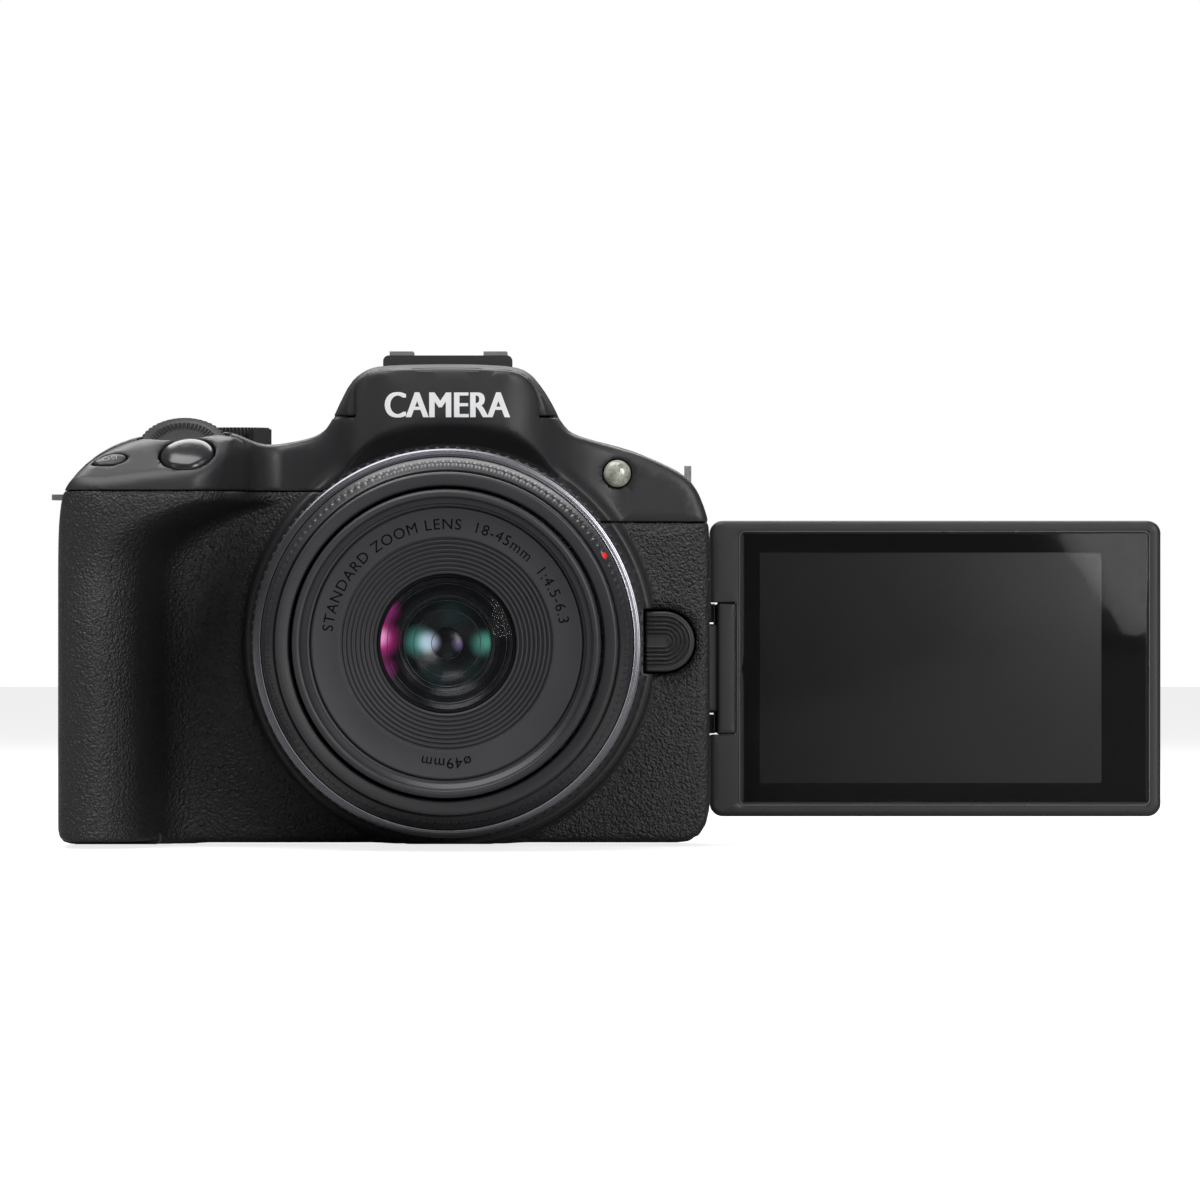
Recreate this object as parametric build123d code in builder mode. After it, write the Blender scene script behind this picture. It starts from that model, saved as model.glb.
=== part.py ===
from build123d import *
import math
import os

os.makedirs("parts", exist_ok=True)

# ---------------------------------------------------------------- frame and main sizes, mm
# Origin at the mouth of the tripod socket. X to the screen side, Y to the back, Z up.
BODY_LEFT = -69.7
BODY_RIGHT = 46.6
BODY_FRONT = -14.5
BODY_BACK = 19.3
SPLIT_Y = 6.0
GRIP_SPLIT_X = -33.0  # the front of the grip is a piece of its own
WALL = 2.0
BASE_T = 3.0
SEAM_GRIP = 62.8
SEAM_SIDE = 57.3
SEAM_BACK = 60.4
FIT = 0.3
EYE_BACK = 24.0
PROW_FRONT = -24.0

LENS_Z = 35.9
FLANGE_Y = -20.0
MOUNT_R = 32.0
THROAT_R = 27.0
BOSS_R = 36.5
LENS_AXIS = Axis((0, 0, LENS_Z), (0, 1, 0))

OUTLINE = [
    (-69.7, 0.0, 3.0),
    (-69.7, 64.6, 7.0),
    (-60.0, 71.5, 14.0),
    (-50.5, 74.7, 12.0),
    (-41.0, 74.7, 12.0),
    (-32.0, 71.6, 4.0),
    (-22.9, 73.3, 2.0),
    (-16.6, 85.5, 5.5),
    (14.8, 85.5, 5.5),
    (20.6, 73.8, 3.0),
    (33.0, 70.3, 14.0),
    (46.6, 66.2, 9.0),
    (46.6, 0.0, 5.0),
]


def facing_front(y):
    """Plane across the camera at depth y, whose normal points to the front"""
    return Plane(origin=(0, y, 0), x_dir=(1, 0, 0), z_dir=(0, -1, 0))


def block(x0, x1, y0, y1, z0, z1, mode=Mode.ADD):
    with Locations(((x0 + x1) / 2, (y0 + y1) / 2, (z0 + z1) / 2)):
        Box(x1 - x0, y1 - y0, z1 - z0, mode=mode)


def disc(plane, radius, low, high, mode=Mode.ADD):
    """Cylinder about the plane's normal, from low to high along it"""
    with Locations(plane.offset((low + high) / 2)):
        Cylinder(radius, high - low, mode=mode)


def lens_disc(radius, y_back, y_front, mode=Mode.ADD):
    """Cylinder about the lens axis"""
    with Locations(Plane(origin=(0, (y_back + y_front) / 2, LENS_Z), x_dir=(1, 0, 0), z_dir=(0, -1, 0))):
        Cylinder(radius, y_back - y_front, mode=mode)


def turned(profile, mode=Mode.ADD):
    """Ring about the lens axis, from (radius, y) points"""
    with BuildSketch(Plane.XY.offset(LENS_Z)) as section:
        with BuildLine():
            Polyline(*profile, close=True)
        make_face()
    revolve(section.sketch, axis=LENS_AXIS, mode=mode)


def outline_prism(y_front, y_back, inset=0.0, mode=Mode.ADD):
    """The front outline of the body, from y_back forward to y_front"""
    with BuildSketch(facing_front(y_back)) as face:
        with BuildLine():
            FilletPolyline(*[(x, z) for x, z, r in OUTLINE], radius=[r for x, z, r in OUTLINE], close=True)
        make_face()
        if inset:
            offset(amount=-inset, mode=Mode.REPLACE)
    extrude(face.sketch, amount=y_back - y_front, mode=mode)


def save(builder, name):
    builder.part.label = name
    export_step(builder.part, "parts/" + name + ".step")


# ---------------------------------------------------------------- outer form of the body
# (height, inner wall x, nose inner x, front y)
GRIP_LEVELS = [
    (0.0, -49.0, -57.0, -36.6),
    (22.0, -49.5, -57.5, -37.4),
    (45.0, -49.5, -56.5, -37.2),
    (60.0, -34.5, -39.0, -37.8),
    (80.0, -34.5, -39.0, -37.8),
]
SLOPE_AT = (-46.2, -32.7, 69.5)
SLOPE_DIR = Vector(-0.12, -0.6745, 1).normalized()
SLOPE = Plane(origin=SLOPE_AT, x_dir=(1, 0, 0.12), z_dir=SLOPE_DIR)
PLATE_Z = 68.5
PLATE_Y = -10.5
DIAL_PLANE = Plane(origin=(-47.3, -16.0, 69.8), x_dir=(1, 0, 0), z_dir=(0, -0.62, 0.785))
DIAL_R = 8.0
DIAL_T = 4.2


def grip(inset=0.0, mode=Mode.ADD):
    """Hand grip, lofted over its height; the cavity is the same form set in"""
    sections = []
    for z, x_in, x_nose, y_front in GRIP_LEVELS:
        with BuildSketch(Plane.XY.offset(z)) as section:
            with BuildLine():
                FilletPolyline(
                    (BODY_LEFT + inset, 0.0),
                    (BODY_LEFT + inset, y_front + 11.0),
                    (-65.0, y_front + inset),
                    (x_nose - inset * 0.7, y_front + inset),
                    (x_in - inset, BODY_FRONT - 4.0),
                    (x_in - inset, 0.0),
                    radius=[0.4, 6.0 - inset, 5.0 - inset, 4.0 - inset / 2, 3.0, 0.4],
                    close=True,
                )
            make_face()
        sections.append(section.sketch.faces()[0])
    loft(sections, ruled=True, mode=mode)


SCREEN_ZC = 31.15
SCREEN_HALF_H = 26.65
SCREEN_T = 7.0
SCREEN_Y = 15.5
SWING_X = 45.0
SCREEN_X0 = 47.15
SCREEN_X1 = 127.8
POCKET_X = 2 * SWING_X - SCREEN_X1 - 0.6
POCKET_Y = 11.5

FLASH_FRONT = -21.0
FLASH_REAR = -9.5
FLASH_BOTTOM = 76.2
FLASH_ARM_X = 13.3
FLASH_AXIS_Y = 1.0
FLASH_AXIS_Z = 82.0
FLASH_END_R = 3.6
FLASH_SWEEP = 0.8  # room for the bar's rear edge as it swings up


def flash_region(gap, mode=Mode.ADD):
    """The U of the flash head: a front bar and two arms that end round about the hinge"""
    wide = 30.0
    behind = FLASH_REAR + gap + (FLASH_SWEEP if gap else 0)
    block(-wide, wide, FLASH_FRONT - gap * 2.6, behind, FLASH_BOTTOM - gap, 95.0, mode=mode)
    for side in (-1, 1):
        x0, x1 = sorted((side * (FLASH_ARM_X - gap), side * wide))
        block(x0, x1, FLASH_REAR - 1, FLASH_AXIS_Y, FLASH_AXIS_Z - FLASH_END_R - gap, 95.0, mode=mode)
        axis_plane = Plane(origin=(0, FLASH_AXIS_Y, FLASH_AXIS_Z), x_dir=(0, 1, 0), z_dir=(1, 0, 0))
        disc(axis_plane, FLASH_END_R + gap * 1.6, x0, x1, mode=mode)


with BuildPart() as outer:
    outline_prism(BODY_FRONT, BODY_BACK)
    grip()
    # hump, from the prow over the lens to the eyepiece housing
    with BuildSketch(facing_front(EYE_BACK)):
        with BuildLine():
            FilletPolyline(
                (-23.3, 66.0), (-22.9, 73.3), (-16.6, 85.5), (14.8, 85.5), (20.6, 73.8), (21.0, 66.0),
                radius=[1.0, 2.0, 5.5, 5.5, 3.0, 1.0], close=True)
        make_face()
    extrude(amount=EYE_BACK - BODY_BACK + 1.0)
    lens_disc(BOSS_R + 3.2, BODY_FRONT + 1.0, PROW_FRONT)
    block(-60, 60, PROW_FRONT - 1, BODY_FRONT, -10, SEAM_SIDE + 2, mode=Mode.SUBTRACT)
    block(-15.4, 14.6, PROW_FRONT, BODY_FRONT, 70.0, 90.0)
    grip()
    lens_disc(BOSS_R, BODY_FRONT + 1, -19.0)
    outline_prism(-50, 50, mode=Mode.INTERSECT)
    turned([(0, -40), (38.6, -40), (37.7, -24.6), (34.8, -19.0), (0, -19.0)], mode=Mode.SUBTRACT)
    with Locations(SLOPE.offset(10)):
        Box(44, 60, 20, mode=Mode.SUBTRACT)
    block(-80, -29.5, PLATE_Y, 60, PLATE_Z, 90, mode=Mode.SUBTRACT)
    disc(DIAL_PLANE, DIAL_R + 0.5, -DIAL_T / 2 - FIT, 12, mode=Mode.SUBTRACT)
    block(POCKET_X, 60, POCKET_Y, 60, SCREEN_ZC - SCREEN_HALF_H - 0.6, SCREEN_ZC + SCREEN_HALF_H + 0.6,
          mode=Mode.SUBTRACT)


# ---------------------------------------------------------------- hollow of the body
with BuildPart() as cavity:
    outline_prism(BODY_FRONT + WALL, BODY_BACK - WALL, inset=WALL)
    block(POCKET_X - WALL, 60, POCKET_Y - WALL, 60, -10, SEAM_BACK, mode=Mode.SUBTRACT)
    block(-14, 13, BODY_BACK - WALL - 1, EYE_BACK - WALL, 64, 82)
    grip(inset=WALL)
    outline_prism(-50, 50, inset=WALL, mode=Mode.INTERSECT)
    block(-80, 60, -60, 60, -10, BASE_T, mode=Mode.SUBTRACT)
    with Locations(SLOPE.offset(10 - WALL)):
        Box(46, 60, 20, mode=Mode.SUBTRACT)
    block(-80, -27.5, PLATE_Y - WALL, 60, PLATE_Z - WALL, 90, mode=Mode.SUBTRACT)
    disc(DIAL_PLANE, DIAL_R + 2.2, -DIAL_T / 2 - FIT - WALL, 12, mode=Mode.SUBTRACT)
    flash_region(1.8, mode=Mode.SUBTRACT)

with BuildPart() as shell:
    add(outer.part)
    add(cavity.part, mode=Mode.SUBTRACT)
    flash_region(0.35, mode=Mode.SUBTRACT)

with BuildPart() as top_zone:
    block(-80, 0, -60, SPLIT_Y, SEAM_GRIP, 100)
    block(0, 60, -60, SPLIT_Y, SEAM_SIDE, 100)
    block(-80, 60, SPLIT_Y, 60, SEAM_BACK, 100)
    block(-58, -37.5, -26, -13, SEAM_GRIP - 4, SEAM_GRIP)

# ---------------------------------------------------------------- controls on the top
SHUTTER_R = 4.55
ISO_AT = (-13.7, 1.0)
ISO_HALF = (3.0, 1.75)
MOVIE_AT = (-56.5, 2.0)
MOVIE_R = 2.6
MODE_AT = (-38.9, 3.0)
MODE_R = 8.8
MODE_TOP = 75.0
POWER_R = 8.9
POWER_TOP = 70.4
SHAFT_GAP = 0.06
TOP_PLATE = Plane.XY.offset(PLATE_Z)
MOVIE_PLANE = Plane(origin=(*MOVIE_AT, PLATE_Z))
MODE_PLANE = Plane(origin=(*MODE_AT, PLATE_Z))
MODE_SHAFT_R = 2.0
DIAL_SHAFT_R = 1.5
LAMP_X, LAMP_Z, LAMP_R = 29.8, 66.0, 2.45
SHOE_X = -0.4
SHOE_FLOOR = 85.0
SHOE_HALF = 9.3
SHOE_Y0, SHOE_Y1 = -4.0, 14.5
EYE_X, EYE_Z = -0.3, 73.2
SIDE_PLANE = Plane(origin=(0, 0, 0), x_dir=(0, 1, 0), z_dir=(1, 0, 0))
FLASH_FACE = Plane(origin=(0, -16.5, 78.1), x_dir=(1, 0, 0), z_dir=(0, -0.389, -0.921))
PIN_PLANE = Plane(origin=(0, FLASH_AXIS_Y, FLASH_AXIS_Z), x_dir=(0, 1, 0), z_dir=(1, 0, 0))
FLASH_PIN_R = 0.8


def oval(plane, half_x, half_y, low, high, mode=Mode.ADD):
    with BuildSketch(plane.offset(low)) as face:
        Ellipse(half_x, half_y)
    extrude(face.sketch, amount=high - low, mode=mode)


ISO_PLANE = Plane(origin=SLOPE.from_local_coords((*ISO_AT, 0)), x_dir=SLOPE.x_dir, z_dir=SLOPE.z_dir)



def lug_cuts():
    """Recesses round the strap lugs"""
    block(-71, -67.3, -2.4, 8.4, 60.6, 63.3, mode=Mode.SUBTRACT)
    block(-68, -66.8, -2.0, 8.0, 61.4, 62.4, mode=Mode.SUBTRACT)
    block(41.0, 44.3, -2.4, 8.4, 64.2, 70, mode=Mode.SUBTRACT)
    block(41.9, 43.1, -2.0, 8.0, 60.5, 65, mode=Mode.SUBTRACT)


with BuildPart() as top_cover:
    add(shell.part)
    add(top_zone.part, mode=Mode.INTERSECT)
    disc(SLOPE, SHUTTER_R + FIT, -4, 3, mode=Mode.SUBTRACT)
    disc(SLOPE, SHUTTER_R + 1.3, -6, -WALL, mode=Mode.SUBTRACT)
    oval(ISO_PLANE, ISO_HALF[0] + 1.3, ISO_HALF[1] + 1.3, -6, -WALL, mode=Mode.SUBTRACT)
    disc(MOVIE_PLANE, MOVIE_R + 1.3, -6, -WALL, mode=Mode.SUBTRACT)
    oval(ISO_PLANE, ISO_HALF[0] + FIT, ISO_HALF[1] + FIT, -4, 3, mode=Mode.SUBTRACT)
    disc(MOVIE_PLANE, MOVIE_R + FIT, -4, 3, mode=Mode.SUBTRACT)
    disc(MODE_PLANE, MODE_SHAFT_R + SHAFT_GAP, -4, 3, mode=Mode.SUBTRACT)
    disc(DIAL_PLANE, DIAL_SHAFT_R + SHAFT_GAP, -8, 0, mode=Mode.SUBTRACT)
    with Locations(Plane(origin=(LAMP_X, BODY_FRONT, LAMP_Z), x_dir=(1, 0, 0), z_dir=(0, -1, 0))):
        Cylinder(LAMP_R, 8, mode=Mode.SUBTRACT)
    block(SHOE_X - 10.7, SHOE_X + 10.7, SHOE_Y0 - 0.2, SHOE_Y1 + 0.2, SHOE_FLOOR - 0.5, 90, mode=Mode.SUBTRACT)
    block(-12.1, 11.2, -7.0, SHOE_Y0 - 0.2, SHOE_FLOOR, 90, mode=Mode.SUBTRACT)
    block(EYE_X - 9.5, EYE_X + 9.5, 20, 30, EYE_Z - 6, EYE_Z + 6, mode=Mode.SUBTRACT)
    block(16.0, 18.6, EYE_BACK - 1.8, 30, 66, 74, mode=Mode.SUBTRACT)
    disc(PIN_PLANE, FLASH_PIN_R, -20, 20, mode=Mode.SUBTRACT)
    lug_cuts()
    lens_disc(MOUNT_R + FIT, -7, -30, mode=Mode.SUBTRACT)
save(top_cover, "top_cover")

# ---------------------------------------------------------------- front, back and bottom covers
RELEASE_X, RELEASE_Z, RELEASE_R = 38.2, 36.1, 5.4
RELEASE_LEFT = 34.8
RELEASE_FRONT = -17.2
PIN_R = 1.4
PIN_X = 29.5
MIC_Y, MIC_Z, JACK_R = -1.0, 46.0, 1.75
DOOR_T = 1.2
# (low y, high y, low z, high z) of the doors over the sockets; the hinge is along the low y edge
MIC_DOOR = (-6.5, 4.5, 40.0, 52.0)
PORT_DOOR = (-3.0, 15.0, 51.5, 59.5)
BATTERY_DOOR = (-66.4, -51.0, -21.2, 13.0)
BATTERY_DOOR_T = 2.2
BATTERY_DOOR_Z = 1.25
REAR_BUTTONS = {
    "ae_lock_button": (-47.0, 56.6, 2.4),
    "af_point_button": (-59.5, 56.6, 2.4),
    "info_button": (-46.5, 45.5, 2.6),
    "play_button": (-62.0, 14.0, 2.6),
    "menu_button": (-46.5, 14.0, 2.6),
}
PAD_X, PAD_Z, PAD_R, SET_R = -54.0, 31.0, 9.6, 4.1
BUTTON_OUT = 0.8


def release_shape(grow, y_back, y_front, mode=Mode.ADD):
    """D-shaped key beside the lens, straight towards the lens and round on the other side"""
    with BuildSketch(facing_front(y_back)) as face:
        with Locations((RELEASE_X, RELEASE_Z)):
            Circle(RELEASE_R + grow)
        with Locations(((RELEASE_LEFT - grow + RELEASE_X) / 2, RELEASE_Z)):
            Rectangle(RELEASE_X - RELEASE_LEFT + grow, 2 * (RELEASE_R + grow))
        with Locations((RELEASE_LEFT - grow - 5, RELEASE_Z)):
            Rectangle(10, 4 * RELEASE_R, mode=Mode.SUBTRACT)
    extrude(face.sketch, amount=y_back - y_front, mode=mode)


def rear_plane(x, z):
    return Plane(origin=(x, BODY_BACK, z), x_dir=(-1, 0, 0), z_dir=(0, 1, 0))


def side_door(door, x_mid, grow, mode=Mode.ADD):
    """Thin door upright in a side wall, rounded about its hinge edge"""
    y0, y1, z0, z1 = door
    half = DOOR_T / 2 + grow
    block(x_mid - half, x_mid + half, y0 + DOOR_T / 2, y1 + grow, z0 - grow, z1 + grow, mode=mode)
    with Locations((x_mid, y0 + DOOR_T / 2, (z0 + z1) / 2)):
        Cylinder(half, z1 - z0 + 2 * grow, mode=mode)


with BuildPart() as front_form:
    add(shell.part)
    block(-80, 60, -60, SPLIT_Y, BASE_T, 100, mode=Mode.INTERSECT)
    add(top_zone.part, mode=Mode.SUBTRACT)
    lens_disc(MOUNT_R + FIT, -8, -30, mode=Mode.SUBTRACT)
    release_shape(FIT, -10, -22, mode=Mode.SUBTRACT)
    side_door(MIC_DOOR, BODY_RIGHT - DOOR_T / 2, FIT, mode=Mode.SUBTRACT)
    with Locations(Plane(origin=(BODY_RIGHT, MIC_Y, MIC_Z), x_dir=(0, 1, 0), z_dir=(1, 0, 0))):
        Cylinder(3.4, 12, mode=Mode.SUBTRACT)
    side_door(PORT_DOOR, BODY_LEFT + DOOR_T / 2, FIT, mode=Mode.SUBTRACT)
    block(-71, -66, 0.5, SPLIT_Y, 54.0, 57.4, mode=Mode.SUBTRACT)
    lug_cuts()

with BuildPart() as grip_zone:
    block(-80, GRIP_SPLIT_X, -60, BODY_FRONT, -5, 100)
    lens_disc(BOSS_R + 2.5, -5, -60, mode=Mode.SUBTRACT)

with BuildPart() as front_cover:
    add(front_form.part)
    add(grip_zone.part, mode=Mode.SUBTRACT)
save(front_cover, "front_cover")

with BuildPart() as grip_cover:
    add(front_form.part)
    add(grip_zone.part, mode=Mode.INTERSECT)
save(grip_cover, "grip_cover")

with BuildPart() as rear_cover:
    add(shell.part)
    block(-80, 60, SPLIT_Y, 60, BASE_T, 100, mode=Mode.INTERSECT)
    add(top_zone.part, mode=Mode.SUBTRACT)
    side_door(PORT_DOOR, BODY_LEFT + DOOR_T / 2, FIT, mode=Mode.SUBTRACT)
    block(-71, -66, SPLIT_Y, 13.2, 54.0, 57.4, mode=Mode.SUBTRACT)
    for x, z, r in REAR_BUTTONS.values():
        disc(rear_plane(x, z), r + FIT, -4, 3, mode=Mode.SUBTRACT)
    disc(rear_plane(PAD_X, PAD_Z), PAD_R + FIT, -4, 3, mode=Mode.SUBTRACT)
    block(42.4, 46.4, POCKET_Y - 1.2, 14, SCREEN_ZC - 11.5, SCREEN_ZC + 11.5, mode=Mode.SUBTRACT)
    lug_cuts()
save(rear_cover, "rear_cover")

SCREWS_UNDER = [(30.0, -6.0), (38.0, 4.0), (-30.0, -6.0)]
with BuildPart() as bottom_cover:
    add(shell.part)
    block(-80, 60, -60, 60, -5, BASE_T, mode=Mode.INTERSECT)
    with Locations((0, 0, 0)):
        Cylinder(5.5, 10, mode=Mode.SUBTRACT)
    x0, x1, y0, y1 = BATTERY_DOOR
    half = BATTERY_DOOR_T / 2
    block(x0 - FIT, x1 - half, y0 - FIT, y1 + FIT, -1, BATTERY_DOOR_Z + half + FIT, mode=Mode.SUBTRACT)
    with Locations(Plane(origin=(x1 - half, (y0 + y1) / 2, BATTERY_DOOR_Z), x_dir=(1, 0, 0), z_dir=(0, 1, 0))):
        Cylinder(half + FIT, y1 - y0 + 2 * FIT, mode=Mode.SUBTRACT)
    block(x1 - half, x1 + FIT, y0 - FIT, y1 + FIT, -1, BATTERY_DOOR_Z, mode=Mode.SUBTRACT)
    block(-65.6, -51.9, -20.8, 12.3, 0, 5, mode=Mode.SUBTRACT)
    for x, y in SCREWS_UNDER:
        disc(Plane(origin=(x, y, 0)), 2.1, -1, 1.6, mode=Mode.SUBTRACT)
        disc(Plane(origin=(x, y, 0)), 1.0, 0, 5, mode=Mode.SUBTRACT)
save(bottom_cover, "bottom_cover")

# ---------------------------------------------------------------- mount, chassis and insides
SCREW_RING = 29.6
SCREW_ANGLES = (35, 125, 215, 325)


def sectors(r_in, r_out, y_back, y_front, start, count, half, mode=Mode.ADD):
    """Arc-shaped lugs about the lens axis, count of them, each twice half degrees wide"""
    with BuildSketch(facing_front(y_back).offset(0)) as face:
        with Locations((0, LENS_Z)):
            for number in range(count):
                angle = start + number * 360 / count - half
                with BuildLine():
                    outer_arc = CenterArc((0, LENS_Z), r_out, angle, 2 * half)
                    inner_arc = CenterArc((0, LENS_Z), r_in, angle, 2 * half)
                    Line(outer_arc @ 0, inner_arc @ 0)
                    Line(outer_arc @ 1, inner_arc @ 1)
                make_face()
    extrude(face.sketch, amount=y_back - y_front, mode=mode)


def on_mount(angle, radius=SCREW_RING):
    """Point on the mount ring at an angle, seen from the front"""
    turn = math.radians(angle)
    return radius * math.cos(turn), LENS_Z + radius * math.sin(turn)


def depth_pin(x, z, radius, y_back, y_front, mode=Mode.ADD):
    """Cylinder along the depth of the camera"""
    with Locations(Plane(origin=(x, (y_back + y_front) / 2, z), x_dir=(1, 0, 0), z_dir=(0, -1, 0))):
        Cylinder(radius, y_back - y_front, mode=mode)


with BuildPart() as mount_ring:
    turned([(THROAT_R, -17.0), (MOUNT_R, -17.0), (MOUNT_R, FLANGE_Y), (THROAT_R, FLANGE_Y)])
    sectors(25.9, THROAT_R + 0.3, -18.4, FLANGE_Y, 90, 3, 24)
    depth_pin(PIN_X, LENS_Z, PIN_R + SHAFT_GAP, -15, -21, mode=Mode.SUBTRACT)
    for angle in SCREW_ANGLES:
        depth_pin(*on_mount(angle), 1.7, -18.6, -21, mode=Mode.SUBTRACT)
        depth_pin(*on_mount(angle), 0.9, -15, -21, mode=Mode.SUBTRACT)
save(mount_ring, "mount_ring")

with BuildPart() as chassis:
    block(-34, 33.4, -12, -8.6, 8.0, 60.0)
    lens_disc(31.9, -8.6, -17.0)
    lens_disc(THROAT_R, 0, -30, mode=Mode.SUBTRACT)
    block(-13, 13, -12, 8.0, BASE_T, 5.6)
    block(-13, 13, -12, -8.6, BASE_T, 9.0)
    lens_disc(THROAT_R, 0, -30, mode=Mode.SUBTRACT)
    depth_pin(PIN_X, LENS_Z, PIN_R + SHAFT_GAP, -5, -21, mode=Mode.SUBTRACT)
    with Locations((0, 0, 0)):
        Cylinder(5.5, 20, mode=Mode.SUBTRACT)
    for angle in SCREW_ANGLES:
        depth_pin(*on_mount(angle), 0.9, -13, -18, mode=Mode.SUBTRACT)
save(chassis, "chassis")

with BuildPart() as case_screws:
    for angle in SCREW_ANGLES:
        depth_pin(*on_mount(angle), 1.7, -18.6, -19.9)
        depth_pin(*on_mount(angle), 0.9, -13, -18.6)
        depth_pin(*on_mount(angle), 0.6, -19.3, -19.9, mode=Mode.SUBTRACT)
    for x, y in SCREWS_UNDER:
        disc(Plane(origin=(x, y, 0)), 2.1, 0.5, 1.6)
        disc(Plane(origin=(x, y, 0)), 1.0, 1.6, BASE_T)
        disc(Plane(origin=(x, y, 0)), 0.7, 0.5, 1.1, mode=Mode.SUBTRACT)
save(case_screws, "case_screws")

with BuildPart() as body_contacts:
    sectors(25.8, THROAT_R, -14.0, -15.7, -90, 1, 20)
save(body_contacts, "body_contacts")

with BuildPart() as tripod_socket:
    disc(Plane.XY, 5.5, 0.0, 7.4)
    disc(Plane.XY, 3.175, -1, 6.4, mode=Mode.SUBTRACT)
save(tripod_socket, "tripod_socket")

with BuildPart() as shutter_unit:
    block(-23, 23, -8.0, -3.6, 17, 57)
    block(-12.2, 12.2, -9, 0, LENS_Z - 8.4, LENS_Z + 8.4, mode=Mode.SUBTRACT)
    for row in range(4):
        block(-13, 13, -6.4 + row * 0.5, -6.1 + row * 0.5, LENS_Z - 15, LENS_Z - 8.6 + row * 0.2, mode=Mode.ADD)
save(shutter_unit, "shutter_unit")

with BuildPart() as image_sensor:
    block(-17, 17, 0.0, 1.6, 23, 49)
    block(-11.15, 11.15, -0.8, 0.0, LENS_Z - 7.45, LENS_Z + 7.45)
save(image_sensor, "image_sensor")

with BuildPart() as main_board:
    block(-36, 38, 4.0, 5.4, 8.2, 56)
    block(-14, 2, 5.4, 7.0, 28, 44)
    block(8, 22, 5.4, 6.6, 34, 46)
    block(-30, -22, 5.4, 8.4, 14, 34)
save(main_board, "main_board")

with BuildPart() as battery:
    block(-65.3, -52.2, -20.5, 12.0, 3.4, 48.5)
    fillet(battery.edges().filter_by(Axis.Z), 1.2)
save(battery, "battery")

with BuildPart() as evf_unit:
    block(EYE_X - 10.5, EYE_X + 10.5, -4.0, 19.0, EYE_Z - 7.0, EYE_Z + 7.0)
    block(EYE_X - 8.5, EYE_X + 8.5, 1.0, 20.0, EYE_Z - 5.2, EYE_Z + 5.2, mode=Mode.SUBTRACT)
save(evf_unit, "evf_unit")

with BuildPart() as eyepiece_lens:
    block(EYE_X - 9.2, EYE_X + 9.2, 19.2, 22.6, EYE_Z - 5.7, EYE_Z + 5.7)
    fillet(eyepiece_lens.edges().filter_by(Axis.Y), 2.0)
save(eyepiece_lens, "eyepiece_lens")

EYECUP_BACK = 31.0
with BuildPart() as eyecup:
    block(EYE_X - 14.2, EYE_X + 14.2, EYE_BACK, EYECUP_BACK, EYE_Z - 9.8, EYE_Z + 10.4)
    fillet(eyecup.edges().filter_by(Axis.Y), 5.0)
    block(EYE_X - 9.6, EYE_X + 9.6, EYE_BACK - 1, EYECUP_BACK + 1, EYE_Z - 6.2, EYE_Z + 6.2, mode=Mode.SUBTRACT)
    fillet(eyecup.faces().sort_by(Axis.Y)[-1].edges(), 1.2)
save(eyecup, "eyecup")

with BuildPart() as diopter_slider:
    block(16.3, 18.3, EYE_BACK - 1.5, EYE_BACK + 0.9, 68.6, 71.4)
save(diopter_slider, "diopter_slider")

SHOE_OUT = SHOE_HALF + 1.2
with BuildPart() as hot_shoe:
    block(SHOE_X - SHOE_OUT, SHOE_X + SHOE_OUT, SHOE_Y0, SHOE_Y1, SHOE_FLOOR - 0.5, SHOE_FLOOR + 3.0)
    block(SHOE_X - SHOE_HALF, SHOE_X + SHOE_HALF, SHOE_Y0 + 1.0, 20, SHOE_FLOOR, SHOE_FLOOR + 2.1,
          mode=Mode.SUBTRACT)
    block(SHOE_X - 6.3, SHOE_X + 6.3, SHOE_Y0 + 1.0, 20, SHOE_FLOOR, 90, mode=Mode.SUBTRACT)
    block(SHOE_X - 20, SHOE_X + 20, SHOE_Y0 - 1, SHOE_Y0 + 1.0, SHOE_FLOOR + 1.5, 90, mode=Mode.SUBTRACT)
save(hot_shoe, "hot_shoe")

with BuildPart() as shoe_cap:
    block(-12.0, 11.1, -6.9, SHOE_Y0 - 0.2, SHOE_FLOOR, SHOE_FLOOR + 2.2)
    fillet(shoe_cap.edges().filter_by(Axis.Y).group_by(Axis.Z)[-1], 1.0)
save(shoe_cap, "shoe_cap")

with BuildPart() as strap_lugs:
    block(-71.4, -66.8, -2.0, 8.0, 61.4, 62.4)
    block(-70.6, -68.6, -0.8, 6.8, 61, 63, mode=Mode.SUBTRACT)
    block(41.9, 43.1, -2.0, 8.0, 60.5, 67.5)
    block(41, 44, -0.8, 6.8, 64.5, 66.7, mode=Mode.SUBTRACT)
save(strap_lugs, "strap_lugs")

with BuildPart() as af_lamp:
    depth_pin(LAMP_X, LAMP_Z, LAMP_R, BODY_FRONT + WALL, BODY_FRONT - 0.3)
    fillet(af_lamp.edges().sort_by(Axis.Y)[0], 0.6)
save(af_lamp, "af_lamp")

with BuildPart() as sockets:
    with Locations(Plane(origin=(BODY_RIGHT - 1.9 - 6.5, MIC_Y, MIC_Z), x_dir=(0, 1, 0), z_dir=(1, 0, 0))):
        Cylinder(3.4, 13)
        Cylinder(JACK_R, 13, mode=Mode.SUBTRACT)
    for y0, y1 in ((0.7, 6.9), (7.9, 13.0)):
        block(-68.0, -61.5, y0, y1, 54.2, 57.2)
        block(-69, -62.0, y0 + 0.4, y1 - 0.4, 54.6, 56.8, mode=Mode.SUBTRACT)
        block(-66, -62.0, y0 + 1.1, y1 - 1.1, 55.3, 56.1)
save(sockets, "sockets")

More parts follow.
